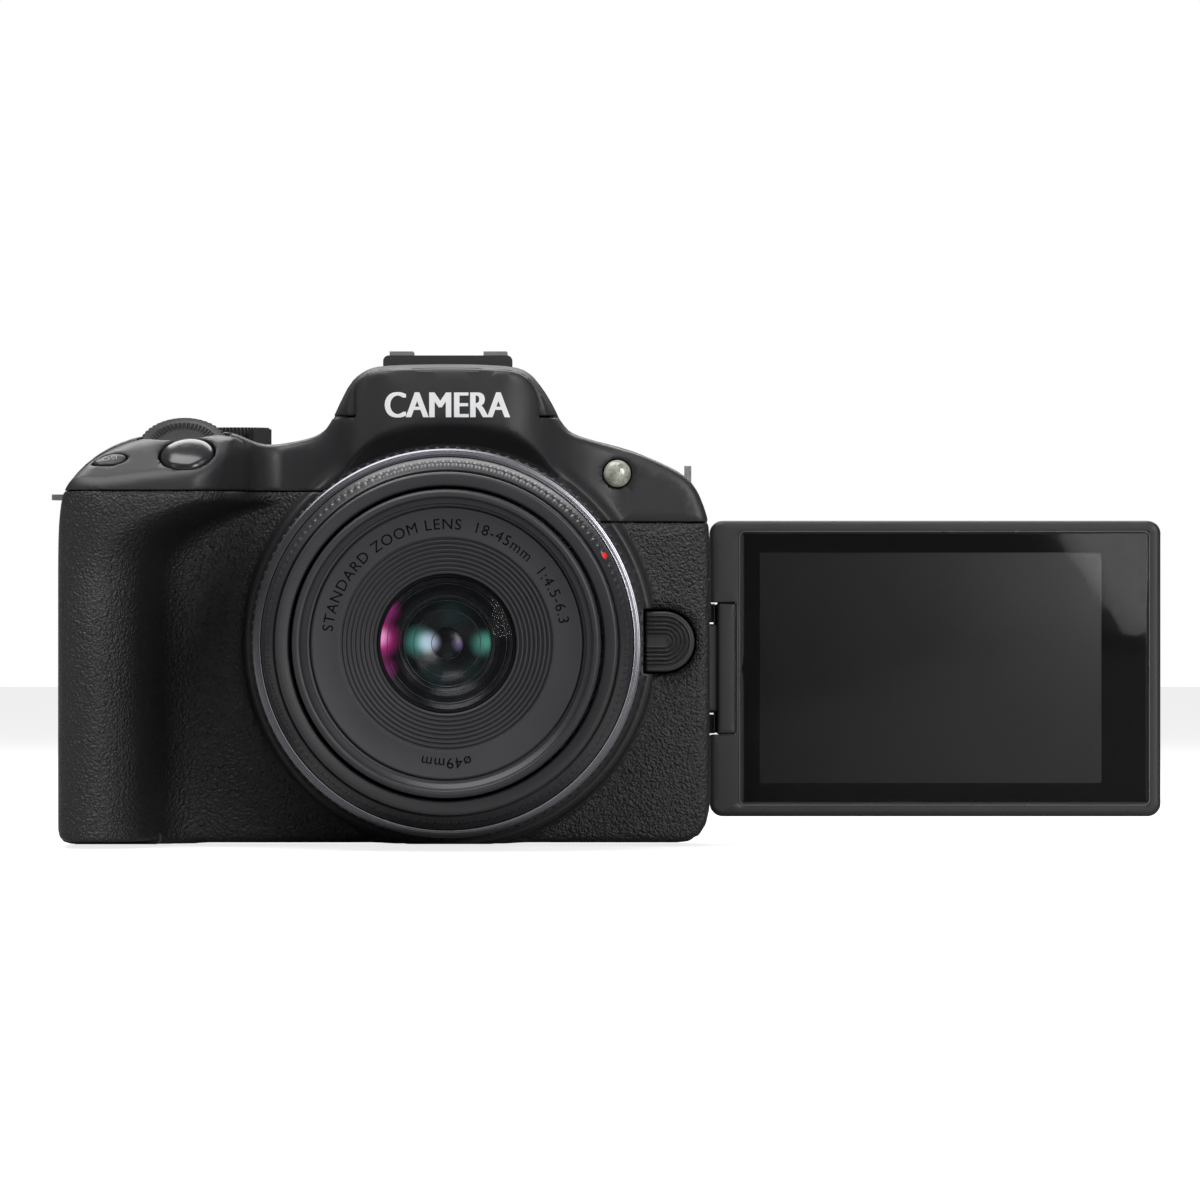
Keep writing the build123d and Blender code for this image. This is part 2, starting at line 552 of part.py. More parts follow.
# ---------------------------------------------------------------- buttons, dials, doors
with BuildPart() as shutter_button:
    disc(SLOPE, SHUTTER_R, -3.4, 0.9)
    fillet(shutter_button.edges().sort_by(Axis((0, 0, 0), tuple(SLOPE.z_dir)))[-1], 0.8)
    disc(SLOPE, SHUTTER_R + 0.9, -3.4, -2.4)
save(shutter_button, "shutter_button")

with BuildPart() as iso_button:
    oval(ISO_PLANE, ISO_HALF[0], ISO_HALF[1], -3.4, 0.5)
    oval(ISO_PLANE, ISO_HALF[0] + 0.9, ISO_HALF[1] + 0.9, -3.4, -2.4)
save(iso_button, "iso_button")

with BuildPart() as movie_button:
    disc(MOVIE_PLANE, MOVIE_R, -3.4, 0.7)
    disc(MOVIE_PLANE, MOVIE_R + 0.8, -3.4, -2.4)
save(movie_button, "movie_button")


def knurled(plane, radius, low, high, count, width, depth):
    """Disc with straight notches round its rim"""
    with BuildSketch(plane.offset(low)) as face:
        Circle(radius)
        with PolarLocations(radius, count):
            Rectangle(2 * depth, width, mode=Mode.SUBTRACT)
    extrude(face.sketch, amount=high - low)


with BuildPart() as main_dial:
    knurled(DIAL_PLANE, DIAL_R, -DIAL_T / 2, DIAL_T / 2, 48, 0.42, 0.35)
    disc(DIAL_PLANE, DIAL_SHAFT_R, -7.0, 0)
save(main_dial, "main_dial")

with BuildPart() as mode_dial:
    knurled(MODE_PLANE, MODE_R, POWER_TOP + 0.3 - PLATE_Z, MODE_TOP - PLATE_Z, 60, 0.4, 0.35)
    disc(MODE_PLANE, MODE_SHAFT_R, -5.0, 3.0)
save(mode_dial, "mode_dial")

with BuildPart() as power_lever:
    disc(MODE_PLANE, POWER_R, 0.3, POWER_TOP - PLATE_Z)
    with Locations(Plane(origin=(*MODE_AT, PLATE_Z), x_dir=(0.5, -0.866, 0))):
        with Locations((9.8, 0, 2.9)):
            Box(1.9, 3.6, 5.2)
    disc(MODE_PLANE, MODE_SHAFT_R + SHAFT_GAP, -1, 5, mode=Mode.SUBTRACT)
save(power_lever, "power_lever")

for name, (x, z, r) in REAR_BUTTONS.items():
    with BuildPart() as rear_button:
        disc(rear_plane(x, z), r, -3.3, BUTTON_OUT)
        disc(rear_plane(x, z), r + 0.8, -3.3, -2.35)
    save(rear_button, name)

with BuildPart() as four_way_pad:
    disc(rear_plane(PAD_X, PAD_Z), PAD_R, -3.3, BUTTON_OUT)
    disc(rear_plane(PAD_X, PAD_Z), PAD_R + 0.8, -3.3, -2.35)
    disc(rear_plane(PAD_X, PAD_Z), SET_R + FIT, -4, 2, mode=Mode.SUBTRACT)
    disc(rear_plane(PAD_X, PAD_Z), SET_R + 1.2, -4, -2.0, mode=Mode.SUBTRACT)
save(four_way_pad, "four_way_pad")

with BuildPart() as set_button:
    disc(rear_plane(PAD_X, PAD_Z), SET_R, -4.3, BUTTON_OUT + 0.3)
    disc(rear_plane(PAD_X, PAD_Z), SET_R + 0.8, -4.3, -3.3)
save(set_button, "set_button")

with BuildPart() as release_button:
    release_shape(0, -11.6, RELEASE_FRONT)
    release_shape(0.8, -11.0, -12.2)
save(release_button, "release_button")

with BuildPart() as lock_pin:
    depth_pin(PIN_X, LENS_Z, PIN_R, -6.8, -21.0)
save(lock_pin, "lock_pin")

with BuildPart() as battery_door:
    x0, x1, y0, y1 = BATTERY_DOOR
    half = BATTERY_DOOR_T / 2
    block(x0, x1 - half, y0, y1, BATTERY_DOOR_Z - half, BATTERY_DOOR_Z + half)
    with Locations(Plane(origin=(x1 - half, (y0 + y1) / 2, BATTERY_DOOR_Z), x_dir=(1, 0, 0), z_dir=(0, 1, 0))):
        Cylinder(half, y1 - y0)
    block(x0 + 2, x0 + 6, -9, 0, BATTERY_DOOR_Z - half - 1, BATTERY_DOOR_Z - half + 0.5, mode=Mode.SUBTRACT)
save(battery_door, "battery_door")

with BuildPart() as mic_door:
    side_door(MIC_DOOR, BODY_RIGHT - DOOR_T / 2, 0)
save(mic_door, "mic_door")

with BuildPart() as port_door:
    side_door(PORT_DOOR, BODY_LEFT + DOOR_T / 2, 0)
save(port_door, "port_door")

with BuildPart() as flash_zone:
    flash_region(0)

with BuildPart() as flash_head:
    add(outer.part)
    add(flash_zone.part, mode=Mode.INTERSECT)
    with Locations(FLASH_FACE.offset(10)):
        Box(60, 40, 20, mode=Mode.SUBTRACT)
    with Locations(FLASH_FACE.offset(-0.45)):
        Box(20, 7.0, 0.9, mode=Mode.SUBTRACT)
    disc(PIN_PLANE, FLASH_PIN_R + 0.05, -30, 30, mode=Mode.SUBTRACT)
save(flash_head, "flash_head")

with BuildPart() as flash_window:
    with Locations(FLASH_FACE.offset(-0.45)):
        Box(20, 7.0, 0.9)
save(flash_window, "flash_window")


# ---------------------------------------------------------------- screen
NOTCH_X = 51.3
NOTCH_HALF = 12.0
TILT_R = 1.8
TILT_END = 57.0
EAR_R = 2.6
BARREL_HALF = 8.0
GLASS_X0, GLASS_X1, GLASS_Z0, GLASS_Z1 = 52.0, 125.7, 6.6, 55.8
GLASS_T = 0.9
SWING = Plane(origin=(SWING_X, SCREEN_Y, SCREEN_ZC))
TILT = Plane(origin=(0, SCREEN_Y, SCREEN_ZC), x_dir=(0, 1, 0), z_dir=(1, 0, 0))
SCREEN_Y0 = SCREEN_Y - SCREEN_T / 2
SCREEN_Y1 = SCREEN_Y + SCREEN_T / 2

with BuildPart() as hinge_bracket:
    block(42.4, 46.4, POCKET_Y - 1.2, POCKET_Y + 0.4, SCREEN_ZC - 11.5, SCREEN_ZC + 11.5)
    for z0, z1 in ((-11.5, -8.3), (8.3, 11.5)):
        disc(SWING, EAR_R, z0, z1)
        block(42.4, 46.4, POCKET_Y - 1.2, SCREEN_Y, SCREEN_ZC + z0, SCREEN_ZC + z1)
    disc(SWING, 1.0, -20, 20, mode=Mode.SUBTRACT)
save(hinge_bracket, "hinge_bracket")

with BuildPart() as hinge_pins:
    disc(SWING, 1.0, -11.5, 11.5)
    disc(PIN_PLANE, FLASH_PIN_R, -15.0, 14.8)
save(hinge_pins, "hinge_pins")

with BuildPart() as screen_arm:
    block(48.0, 50.9, SCREEN_Y - 2.9, SCREEN_Y + 2.9, SCREEN_ZC - 11.4, SCREEN_ZC + 11.4)
    block(SWING_X, 49.0, SCREEN_Y - 2.4, SCREEN_Y + 2.4, SCREEN_ZC - BARREL_HALF, SCREEN_ZC + BARREL_HALF)
    disc(SWING, EAR_R, -BARREL_HALF, BARREL_HALF)
    disc(TILT, 11.6, 40, 51.5, mode=Mode.INTERSECT)
    disc(TILT, TILT_R, 50.0, TILT_END - 0.4)
    disc(SWING, 1.05, -20, 20, mode=Mode.SUBTRACT)
save(screen_arm, "screen_arm")

with BuildPart() as screen_frame:
    block(SCREEN_X0, SCREEN_X1, SCREEN_Y0, SCREEN_Y1, SCREEN_ZC - SCREEN_HALF_H, SCREEN_ZC + SCREEN_HALF_H)
    fillet(screen_frame.edges().filter_by(Axis.Y), 2.2)
    chamfer(screen_frame.faces().sort_by(Axis.Y)[0].edges(), 0.4)
    block(SCREEN_X0 - 1, NOTCH_X, SCREEN_Y0 - 1, SCREEN_Y1 + 1, SCREEN_ZC - NOTCH_HALF, SCREEN_ZC + NOTCH_HALF,
          mode=Mode.SUBTRACT)
    block(GLASS_X0, GLASS_X1, SCREEN_Y0 - 1, SCREEN_Y0 + 0.2 + GLASS_T, GLASS_Z0, GLASS_Z1, mode=Mode.SUBTRACT)
    block(TILT_END, GLASS_X1 - 1, SCREEN_Y0 + 1, SCREEN_Y1 - 1.2, GLASS_Z0 + 1, GLASS_Z1 - 1, mode=Mode.SUBTRACT)
    block(TILT_END, GLASS_X1 - 1, SCREEN_Y1 - 1.2, SCREEN_Y1 + 1, GLASS_Z0 + 1, GLASS_Z1 - 1, mode=Mode.SUBTRACT)
    disc(TILT, TILT_R + 0.05, 45, TILT_END + 1, mode=Mode.SUBTRACT)
save(screen_frame, "screen_frame")

with BuildPart() as screen_back:
    block(TILT_END, GLASS_X1 - 1, SCREEN_Y1 - 1.2, SCREEN_Y1 - 0.1, GLASS_Z0 + 1, GLASS_Z1 - 1)
save(screen_back, "screen_back")

with BuildPart() as screen_glass:
    block(GLASS_X0, GLASS_X1, SCREEN_Y0 + 0.2, SCREEN_Y0 + 0.2 + GLASS_T, GLASS_Z0, GLASS_Z1)
save(screen_glass, "screen_glass")

with BuildPart() as lcd_panel:
    block(TILT_END + 0.3, 118.5, SCREEN_Y0 + 0.2 + GLASS_T, SCREEN_Y0 + 3.2, 9.0, 53.5)
save(lcd_panel, "lcd_panel")

# ---------------------------------------------------------------- lens
LENS_FRONT = -64.3
RIM_R = 26.9
THREAD_R = 24.5
SLEEVE_IN, SLEEVE_OUT = 27.4, 28.4
ZOOM_R = 34.5
ZOOM_Y = (-33.35, -50.0)
CONTROL_Y = (-50.35, -58.95)
COLLAR_Y = -62.0
COLLAR_R = 30.2

with BuildPart() as lens_mount:
    turned([(22, -14.5), (25.5, -14.5), (25.5, -20.1), (31.5, -20.1), (31.5, -21.8), (22, -21.8)])
    sectors(25.3, 26.6, -16.0, -17.6, 30, 3, 22)
    depth_pin(PIN_X, LENS_Z, PIN_R + FIT, -15, -21.4, mode=Mode.SUBTRACT)
save(lens_mount, "lens_mount")

with BuildPart() as lens_barrel:
    turned([
        (SLEEVE_IN, COLLAR_Y), (COLLAR_R - 0.4, COLLAR_Y), (COLLAR_R, COLLAR_Y + 0.4), (COLLAR_R, -59.25),
        (SLEEVE_OUT, -59.25), (SLEEVE_OUT, -31.5), (33.4, -31.5), (33.4, -33.0), (34.2, -33.0), (34.2, -27.5),
        (31.9, -21.8), (11.3, -21.8), (11.3, -23.5), (SLEEVE_IN, -23.5),
    ])
save(lens_barrel, "lens_barrel")

with BuildPart() as zoom_ring:
    turned([
        (SLEEVE_OUT + 0.3, ZOOM_Y[0]), (34.0, ZOOM_Y[0]), (ZOOM_R, -34.2), (ZOOM_R, -48.8), (33.7, ZOOM_Y[1]),
        (SLEEVE_OUT + 0.3, ZOOM_Y[1]),
    ])
    with BuildSketch(facing_front(-35.5)) as ribs:
        with Locations((0, LENS_Z)):
            with PolarLocations(ZOOM_R, 72):
                Rectangle(1.0, 1.3)
    extrude(ribs.sketch, amount=12.5, mode=Mode.SUBTRACT)
save(zoom_ring, "zoom_ring")

with BuildPart() as control_ring:
    turned([
        (SLEEVE_OUT + 0.3, CONTROL_Y[0]), (33.2, CONTROL_Y[0]), (33.2, -52.5), (31.6, -58.0), (31.2, CONTROL_Y[1]),
        (SLEEVE_OUT + 0.3, CONTROL_Y[1]),
    ])
save(control_ring, "control_ring")

with BuildPart() as inner_barrel:
    turned([
        (25.2, -36.0), (RIM_R, -36.0), (RIM_R, -63.4), (26.2, LENS_FRONT), (THREAD_R, LENS_FRONT), (THREAD_R, -61.3),
        (23.9, -61.3), (23.9, -59.6), (25.2, -59.6),
    ])
    turned([(11.9, -50.0), (25.4, -50.0), (25.4, -51.5), (13.0, -51.5), (13.0, -57.4), (11.9, -57.4)])
    turned([(8.6, -50.0), (12.0, -50.0), (12.0, -51.0), (8.6, -51.0)])
save(inner_barrel, "inner_barrel")

RIDGE_R = 18.4
RIDGES = 8
RIDGE_PITCH = 0.7
with BuildPart() as name_ring:
    stairs = [(23.7, -61.1), (RIDGE_R, -61.1)]
    for number in range(RIDGES):
        r = RIDGE_R - number * RIDGE_PITCH
        y = -60.9 + number * 0.22
        stairs += [(r, y), (r - RIDGE_PITCH / 2, y), (r - RIDGE_PITCH / 2, y - 0.12)]
    turned(stairs + [(12.2, -59.0), (12.2, -57.7), (13.6, -57.7), (23.7, -59.7)])
save(name_ring, "name_ring")

with BuildPart() as front_glass:
    turned([(0, -58.3), (3, -58.2), (6, -57.8), (8.5, -57.2), (10.2, -56.6), (11.6, -56.4), (11.6, -53.2),
            (7, -52.2), (0, -51.4)])
save(front_glass, "front_glass")

with BuildPart() as iris:
    turned([(7.0, -46.0), (16.0, -46.0), (16.0, -47.0), (7.0, -47.0)])
    lens_disc(7.2, -46.3, -46.7)
    with BuildSketch(facing_front(-46)) as blades:
        with Locations((0, LENS_Z)):
            RegularPolygon(3.3, 7)
    extrude(blades.sketch, amount=2, mode=Mode.SUBTRACT)
    turned([(15.5, -46.0), (25.1, -46.0), (25.1, -47.0), (15.5, -47.0)])
save(iris, "iris")

with BuildPart() as focus_group:
    turned([(8.2, -38.0), (24.7, -38.0), (24.7, -40.0), (12.0, -40.0), (12.0, -42.0), (8.2, -42.0)])
    turned([(0, -42.4), (4, -42.0), (8.3, -40.9), (8.3, -39.0), (4, -38.4), (0, -38.2)])
save(focus_group, "focus_group")

with BuildPart() as rear_glass:
    turned([(0, -24.6), (6, -24.0), (11.2, -23.3), (11.2, -22.0), (6, -21.4), (0, -21.0)])
save(rear_glass, "rear_glass")
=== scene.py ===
import math

import bmesh
import bpy
import numpy as np
import openvdb as vdb
from mathutils import Matrix, Vector


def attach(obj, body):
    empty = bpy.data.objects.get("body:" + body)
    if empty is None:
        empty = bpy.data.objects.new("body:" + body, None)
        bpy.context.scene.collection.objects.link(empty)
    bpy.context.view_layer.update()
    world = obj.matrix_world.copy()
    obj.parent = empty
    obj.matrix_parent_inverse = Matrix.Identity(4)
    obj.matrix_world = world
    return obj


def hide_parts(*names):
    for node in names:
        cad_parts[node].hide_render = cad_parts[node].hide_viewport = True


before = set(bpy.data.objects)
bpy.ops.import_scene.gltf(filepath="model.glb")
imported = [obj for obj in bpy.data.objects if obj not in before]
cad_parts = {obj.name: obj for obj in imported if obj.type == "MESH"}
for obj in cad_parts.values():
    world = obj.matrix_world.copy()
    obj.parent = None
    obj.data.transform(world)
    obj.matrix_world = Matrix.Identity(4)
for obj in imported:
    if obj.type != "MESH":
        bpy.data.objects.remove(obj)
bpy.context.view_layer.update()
scene = bpy.context.scene
MM = 0.001
LENS_Z = 35.9

# ------------------------------------------------------------------ camera, light, floor
VIEW_X, VIEW_Z, VIEW_DISTANCE = 26.75, 43.5, 2200.0
eye = bpy.data.cameras.new("eye")
eye.lens = 368.3
eye.sensor_width = 36.0
eye.clip_end = 20.0
eye_object = bpy.data.objects.new("eye", eye)
eye_object.location = (VIEW_X * MM, -VIEW_DISTANCE * MM, VIEW_Z * MM)
eye_object.rotation_euler = (math.radians(90), 0, 0)
scene.collection.objects.link(eye_object)
scene.camera = eye_object
scene.view_settings.view_transform = "Standard"


def softbox(name, where, target, width, height, power):
    """Rectangular light aimed at a point, in metres and watts"""
    light = bpy.data.lights.new(name, "AREA")
    light.shape = "RECTANGLE"
    light.size, light.size_y = width, height
    light.energy = power
    lamp = bpy.data.objects.new(name, light)
    lamp.location = where
    aim = Vector(target) - Vector(where)
    lamp.rotation_euler = aim.to_track_quat("-Z", "Y").to_euler()
    scene.collection.objects.link(lamp)


softbox("top_light", (-0.25, -0.3, 0.95), (-0.02, 0.0, 0.05), 1.0, 0.7, 11.0)
softbox("left_light", (-1.1, -0.75, 0.35), (-0.02, 0.0, 0.05), 0.3, 0.9, 0.9)
softbox("right_light", (0.95, -0.85, 0.75), (0.0, 0.0, 0.04), 0.5, 0.7, 2.0)
softbox("front_light", (0.85, -1.8, 0.5), (-0.02, 0.0, 0.03), 0.6, 0.8, 15.0)
softbox("back_light", (0.1, 0.9, 0.9), (0.0, 0.0, 0.06), 1.2, 0.6, 10.0)

world = bpy.data.worlds.new("studio")
world.use_nodes = True
scene.world = world
sky = world.node_tree
background = sky.nodes["Background"]
background.inputs["Color"].default_value = (1, 1, 1, 1)
background.inputs["Strength"].default_value = 0.13
bright = sky.nodes.new("ShaderNodeBackground")
bright.inputs["Color"].default_value = (1, 1, 1, 1)
bright.inputs["Strength"].default_value = 1.0
rays = sky.nodes.new("ShaderNodeLightPath")
choose = sky.nodes.new("ShaderNodeMixShader")
sky.links.new(rays.outputs["Is Camera Ray"], choose.inputs["Fac"])
sky.links.new(background.outputs["Background"], choose.inputs[1])
sky.links.new(bright.outputs["Background"], choose.inputs[2])
sky.links.new(choose.outputs["Shader"], sky.nodes["World Output"].inputs["Surface"])


# ------------------------------------------------------------------ materials
def material(name, colour, rough, metallic=0.0, specular=0.4, vary=0.12, rough_vary=0.06, mottle=60.0,
             bumps=(), coat=0.0, coat_rough=0.05, **sockets):
    """A Principled material that drifts a little; bumps are (kind, cells per mm, depth in mm)"""
    made = bpy.data.materials.new(name)
    made.use_nodes = True
    tree = made.node_tree
    shader = tree.nodes["Principled BSDF"]
    shader.inputs["Metallic"].default_value = metallic
    shader.inputs["Specular IOR Level"].default_value = specular
    shader.inputs["Coat Weight"].default_value = coat
    shader.inputs["Coat Roughness"].default_value = coat_rough
    for key, value in sockets.items():
        shader.inputs[key.replace("_", " ")].default_value = value
    where = tree.nodes.new("ShaderNodeTexCoord")
    drift = tree.nodes.new("ShaderNodeTexNoise")
    drift.inputs["Scale"].default_value = mottle
    drift.inputs["Detail"].default_value = 6.0
    drift.inputs["Roughness"].default_value = 0.6
    tree.links.new(where.outputs["Object"], drift.inputs["Vector"])
    ramp = tree.nodes.new("ShaderNodeValToRGB")
    ramp.color_ramp.elements[0].position = 0.3
    ramp.color_ramp.elements[1].position = 0.7
    ramp.color_ramp.elements[0].color = (*[c * (1 - vary) for c in colour], 1)
    ramp.color_ramp.elements[1].color = (*[min(1.0, c * (1 + vary)) for c in colour], 1)
    tree.links.new(drift.outputs["Fac"], ramp.inputs["Fac"])
    tree.links.new(ramp.outputs["Color"], shader.inputs["Base Color"])
    spread = tree.nodes.new("ShaderNodeMapRange")
    spread.inputs["To Min"].default_value = max(0.02, rough - rough_vary)
    spread.inputs["To Max"].default_value = min(1.0, rough + rough_vary)
    tree.links.new(drift.outputs["Fac"], spread.inputs["Value"])
    tree.links.new(spread.outputs["Result"], shader.inputs["Roughness"])
    normal = None
    for kind, per_mm, depth in bumps:
        if kind == "noise":
            cells = tree.nodes.new("ShaderNodeTexNoise")
            cells.inputs["Detail"].default_value = 3.0
            height = cells.outputs["Fac"]
        else:
            warp = tree.nodes.new("ShaderNodeTexNoise")
            warp.inputs["Scale"].default_value = per_mm * 900.0
            tree.links.new(where.outputs["Object"], warp.inputs["Vector"])
            shift = tree.nodes.new("ShaderNodeVectorMath")
            shift.operation = "MULTIPLY_ADD"
            shift.inputs[1].default_value = (0.0003 / per_mm,) * 3
            tree.links.new(warp.outputs["Color"], shift.inputs[0])
            tree.links.new(where.outputs["Object"], shift.inputs[2])
            cells = tree.nodes.new("ShaderNodeTexVoronoi")
            cells.feature = kind
            tree.links.new(shift.outputs["Vector"], cells.inputs["Vector"])
            height = cells.outputs["Distance"]
        cells.inputs["Scale"].default_value = per_mm * 1000.0
        if kind == "noise":
            tree.links.new(where.outputs["Object"], cells.inputs["Vector"])
        bump = tree.nodes.new("ShaderNodeBump")
        bump.inputs["Strength"].default_value = 1.0
        bump.inputs["Distance"].default_value = depth * MM
        bump.invert = kind == "F1"
        tree.links.new(height, bump.inputs["Height"])
        if normal:
            tree.links.new(normal, bump.inputs["Normal"])
        normal = bump.outputs["Normal"]
    if normal:
        tree.links.new(normal, shader.inputs["Normal"])
    return made


GRAIN = material("grained_plastic", (0.013, 0.013, 0.014), 0.46, specular=0.5, mottle=90, rough_vary=0.1,
                 bumps=(("DISTANCE_TO_EDGE", 1.0, 0.3), ("F1", 2.3, 0.16), ("noise", 3.2, 0.12)))
SATIN = material("satin_plastic", (0.024, 0.024, 0.026), 0.42, specular=0.4, mottle=70,
                 bumps=(("noise", 5.0, 0.012), ("noise", 1.6, 0.01)))
LENS_SATIN = material("lens_plastic", (0.026, 0.026, 0.029), 0.38, specular=0.45, mottle=50,
                      bumps=(("noise", 6.0, 0.008),))
RUBBER = material("soft_rubber", (0.018, 0.018, 0.019), 0.7, specular=0.3, bumps=(("noise", 4.0, 0.02),))
STEEL = material("brushed_steel", (0.5, 0.5, 0.52), 0.28, metallic=1.0, vary=0.08, mottle=200,
                 bumps=(("noise", 6.0, 0.006),))
DARK_METAL = material("black_metal", (0.05, 0.05, 0.055), 0.35, metallic=0.8,
                      bumps=(("noise", 5.0, 0.006),))
ALLOY = material("cast_alloy", (0.35, 0.35, 0.36), 0.5, metallic=1.0, mottle=120,
                 bumps=(("noise", 2.5, 0.03),))
BRASS = material("plated_brass", (0.75, 0.55, 0.2), 0.25, metallic=1.0, bumps=(("noise", 5.0, 0.004),))
BOARD = material("board_green", (0.02, 0.09, 0.04), 0.35, mottle=400, vary=0.3,
                 bumps=(("noise", 1.0, 0.02),))
CELL = material("battery_case", (0.07, 0.07, 0.075), 0.5, bumps=(("noise", 4.0, 0.01),))
INNER = material("inner_black", (0.006, 0.006, 0.007), 0.75, specular=0.2, bumps=(("noise", 3.0, 0.02),))
WHITE = material("white_paint", (0.85, 0.85, 0.86), 0.4, vary=0.03, bumps=(("noise", 5.0, 0.004),))
INK = material("dark_ink", (0.002, 0.002, 0.002), 0.5, specular=0.05, bumps=(("noise", 5.0, 0.004),))
RED = material("red_paint", (0.75, 0.02, 0.02), 0.35, vary=0.05, bumps=(("noise", 4.0, 0.005),))
BRIGHT = material("bright_edge", (0.4, 0.4, 0.43), 0.2, metallic=1.0, vary=0.05,
                  bumps=(("noise", 5.0, 0.004),))
PLATE = material("name_plate", (0.034, 0.033, 0.037), 0.5, specular=0.35, bumps=(("noise", 5.0, 0.01),))
LAMP = material("clear_lamp", (0.36, 0.37, 0.31), 0.12, specular=0.6, vary=0.5, mottle=700,
                coat=0.6, bumps=(("noise", 1.3, 0.08),))


def banded(name, stops, low, high, rough, axis=(1, 0, 0), **sockets):
    """A material whose colour changes along a direction between two distances in mm"""
    made = material(name, (0.5, 0.5, 0.5), rough, specular=0.5, **sockets)
    tree = made.node_tree
    shader = tree.nodes["Principled BSDF"]
    where = next(n for n in tree.nodes if n.type == "TEX_COORD")
    split = tree.nodes.new("ShaderNodeVectorMath")
    split.operation = "DOT_PRODUCT"
    split.inputs[1].default_value = axis
    tree.links.new(where.outputs["Object"], split.inputs[0])
    along = tree.nodes.new("ShaderNodeMapRange")
    along.inputs["From Min"].default_value = low * MM
    along.inputs["From Max"].default_value = high * MM
    tree.links.new(split.outputs["Value"], along.inputs["Value"])
    colours = tree.nodes.new("ShaderNodeValToRGB")
    while len(colours.color_ramp.elements) < len(stops):
        colours.color_ramp.elements.new(0.5)
    for element, (position, colour) in zip(colours.color_ramp.elements, stops):
        element.position = position
        element.color = (*colour, 1)
    tree.links.new(along.outputs["Result"], colours.inputs["Fac"])
    tree.links.new(colours.outputs["Color"], shader.inputs["Base Color"])
    return made


def painted_reflections(name, spots, rough=0.25):
    """Near-black with painted reflections of the coated glass: soft spots of colour that also emit, so they
    glow, each ((x, z), radius in mm, colour)
    """
    made = material(name, (0.004, 0.004, 0.005), rough, specular=0.3)
    tree = made.node_tree
    shader = tree.nodes["Principled BSDF"]
    where = next(n for n in tree.nodes if n.type == "TEX_COORD")
    flat = tree.nodes.new("ShaderNodeVectorMath")
    flat.operation = "MULTIPLY"
    flat.inputs[1].default_value = (1, 0, 1)
    tree.links.new(where.outputs["Object"], flat.inputs[0])
    below = None
    for (x, z), radius, colour in spots:
        gap = tree.nodes.new("ShaderNodeVectorMath")
        gap.operation = "DISTANCE"
        gap.inputs[1].default_value = (x * MM, 0, z * MM)
        tree.links.new(flat.outputs["Vector"], gap.inputs[0])
        fade = tree.nodes.new("ShaderNodeMapRange")
        fade.interpolation_type = "SMOOTHERSTEP"
        fade.inputs["From Max"].default_value = radius * MM
        fade.inputs["To Min"].default_value = 1.0
        fade.inputs["To Max"].default_value = 0.0
        tree.links.new(gap.outputs["Value"], fade.inputs["Value"])
        glow = tree.nodes.new("ShaderNodeMix")
        glow.data_type = "RGBA"
        glow.blend_type = "ADD"
        glow.inputs[7].default_value = (*colour, 1)
        tree.links.new(fade.outputs["Result"], glow.inputs["Factor"])
        if below:
            tree.links.new(below, glow.inputs[6])
        else:
            glow.inputs[6].default_value = (0.003, 0.003, 0.004, 1)
        below = glow.outputs[2]
    tree.links.new(below, shader.inputs["Base Color"])
    tree.links.new(below, shader.inputs["Emission Color"])
    shader.inputs["Emission Strength"].default_value = 0.55
    return made


COATED_GLASS = material("coated_glass", (0.01, 0.012, 0.014), 0.05, specular=0.25, vary=0.02,
                        rough_vary=0.01, Alpha=0.1)
# painted reflections and glows on the inner lens elements, not the glass's own colour
VIOLET = painted_reflections("violet_painted_reflection", [((-12.4, 36.8), 5.2, (0.55, 0.03, 0.26)),
                                    ((-11.8, 37.0), 2.6, (0.4, 0.3, 0.42)),
                                    ((-10.6, 41.8), 3.4, (0.2, 0.01, 0.12)),
                                    ((-10.8, 31.5), 3.0, (0.12, 0.005, 0.07))])
TEAL = painted_reflections("teal_painted_reflection", [((-5.0, 36.2), 3.8, (0.05, 0.2, 0.17)),
                                ((6.4, 35.9), 3.3, (0.05, 0.2, 0.16)),
                                ((-3.4, 36.1), 2.8, (0.4, 0.47, 0.6)),
                                ((7.2, 36.4), 2.4, (0.03, 0.14, 0.1)),
                                ((-2.6, 30.4), 4.6, (0.003, 0.01, 0.01)),
                                ((1.0, 41.6), 4.8, (0.003, 0.012, 0.011)),
                                ((4.4, 30.8), 4.0, (0.003, 0.01, 0.009))])
DEEP = painted_reflections("deep_painted_reflection", [((-3.2, 36.1), 2.6, (0.5, 0.55, 0.7)),
                                ((2.3, 35.8), 1.9, (0.1, 0.07, 0.18)),
                                ((0.2, 33.5), 1.6, (0.006, 0.008, 0.02))])
# the dark display gets lighter along a diagonal: a painted reflection on the screen, not its own colour
DISPLAY = banded("display_painted_reflection", [(0.0, (0.012, 0.012, 0.013)), (0.4, (0.02, 0.02, 0.021)),
                                   (1.0, (0.062, 0.062, 0.064))],
                 14.0, 88.0, 0.4, axis=(0.8, 0, -0.6))
FAINT = material("faint_line", (0.1, 0.11, 0.11), 0.3, metallic=0.7, vary=0.05)
EDGE = material("edge_ring", (0.2, 0.2, 0.22), 0.28, metallic=1.0, vary=0.05,
                bumps=(("noise", 5.0, 0.004),))
SCREEN_GLASS = material("screen_glass_clear", (0.01, 0.01, 0.011), 0.08, specular=0.4, vary=0.02,
                        rough_vary=0.01, Alpha=0.22)
SHINY = material("shutter_black", (0.02, 0.02, 0.022), 0.22, specular=0.6, bumps=(("noise", 4.0, 0.004),))
GREY_INK = material("grey_ink", (0.22, 0.22, 0.23), 0.45, bumps=(("noise", 5.0, 0.004),))
RED_RING = material("movie_black", (0.03, 0.022, 0.022), 0.35, bumps=(("noise", 5.0, 0.006),))
FROST = material("frosted_window", (0.55, 0.55, 0.52), 0.3, specular=0.5, vary=0.2, mottle=500,
                 bumps=(("noise", 2.5, 0.05),))
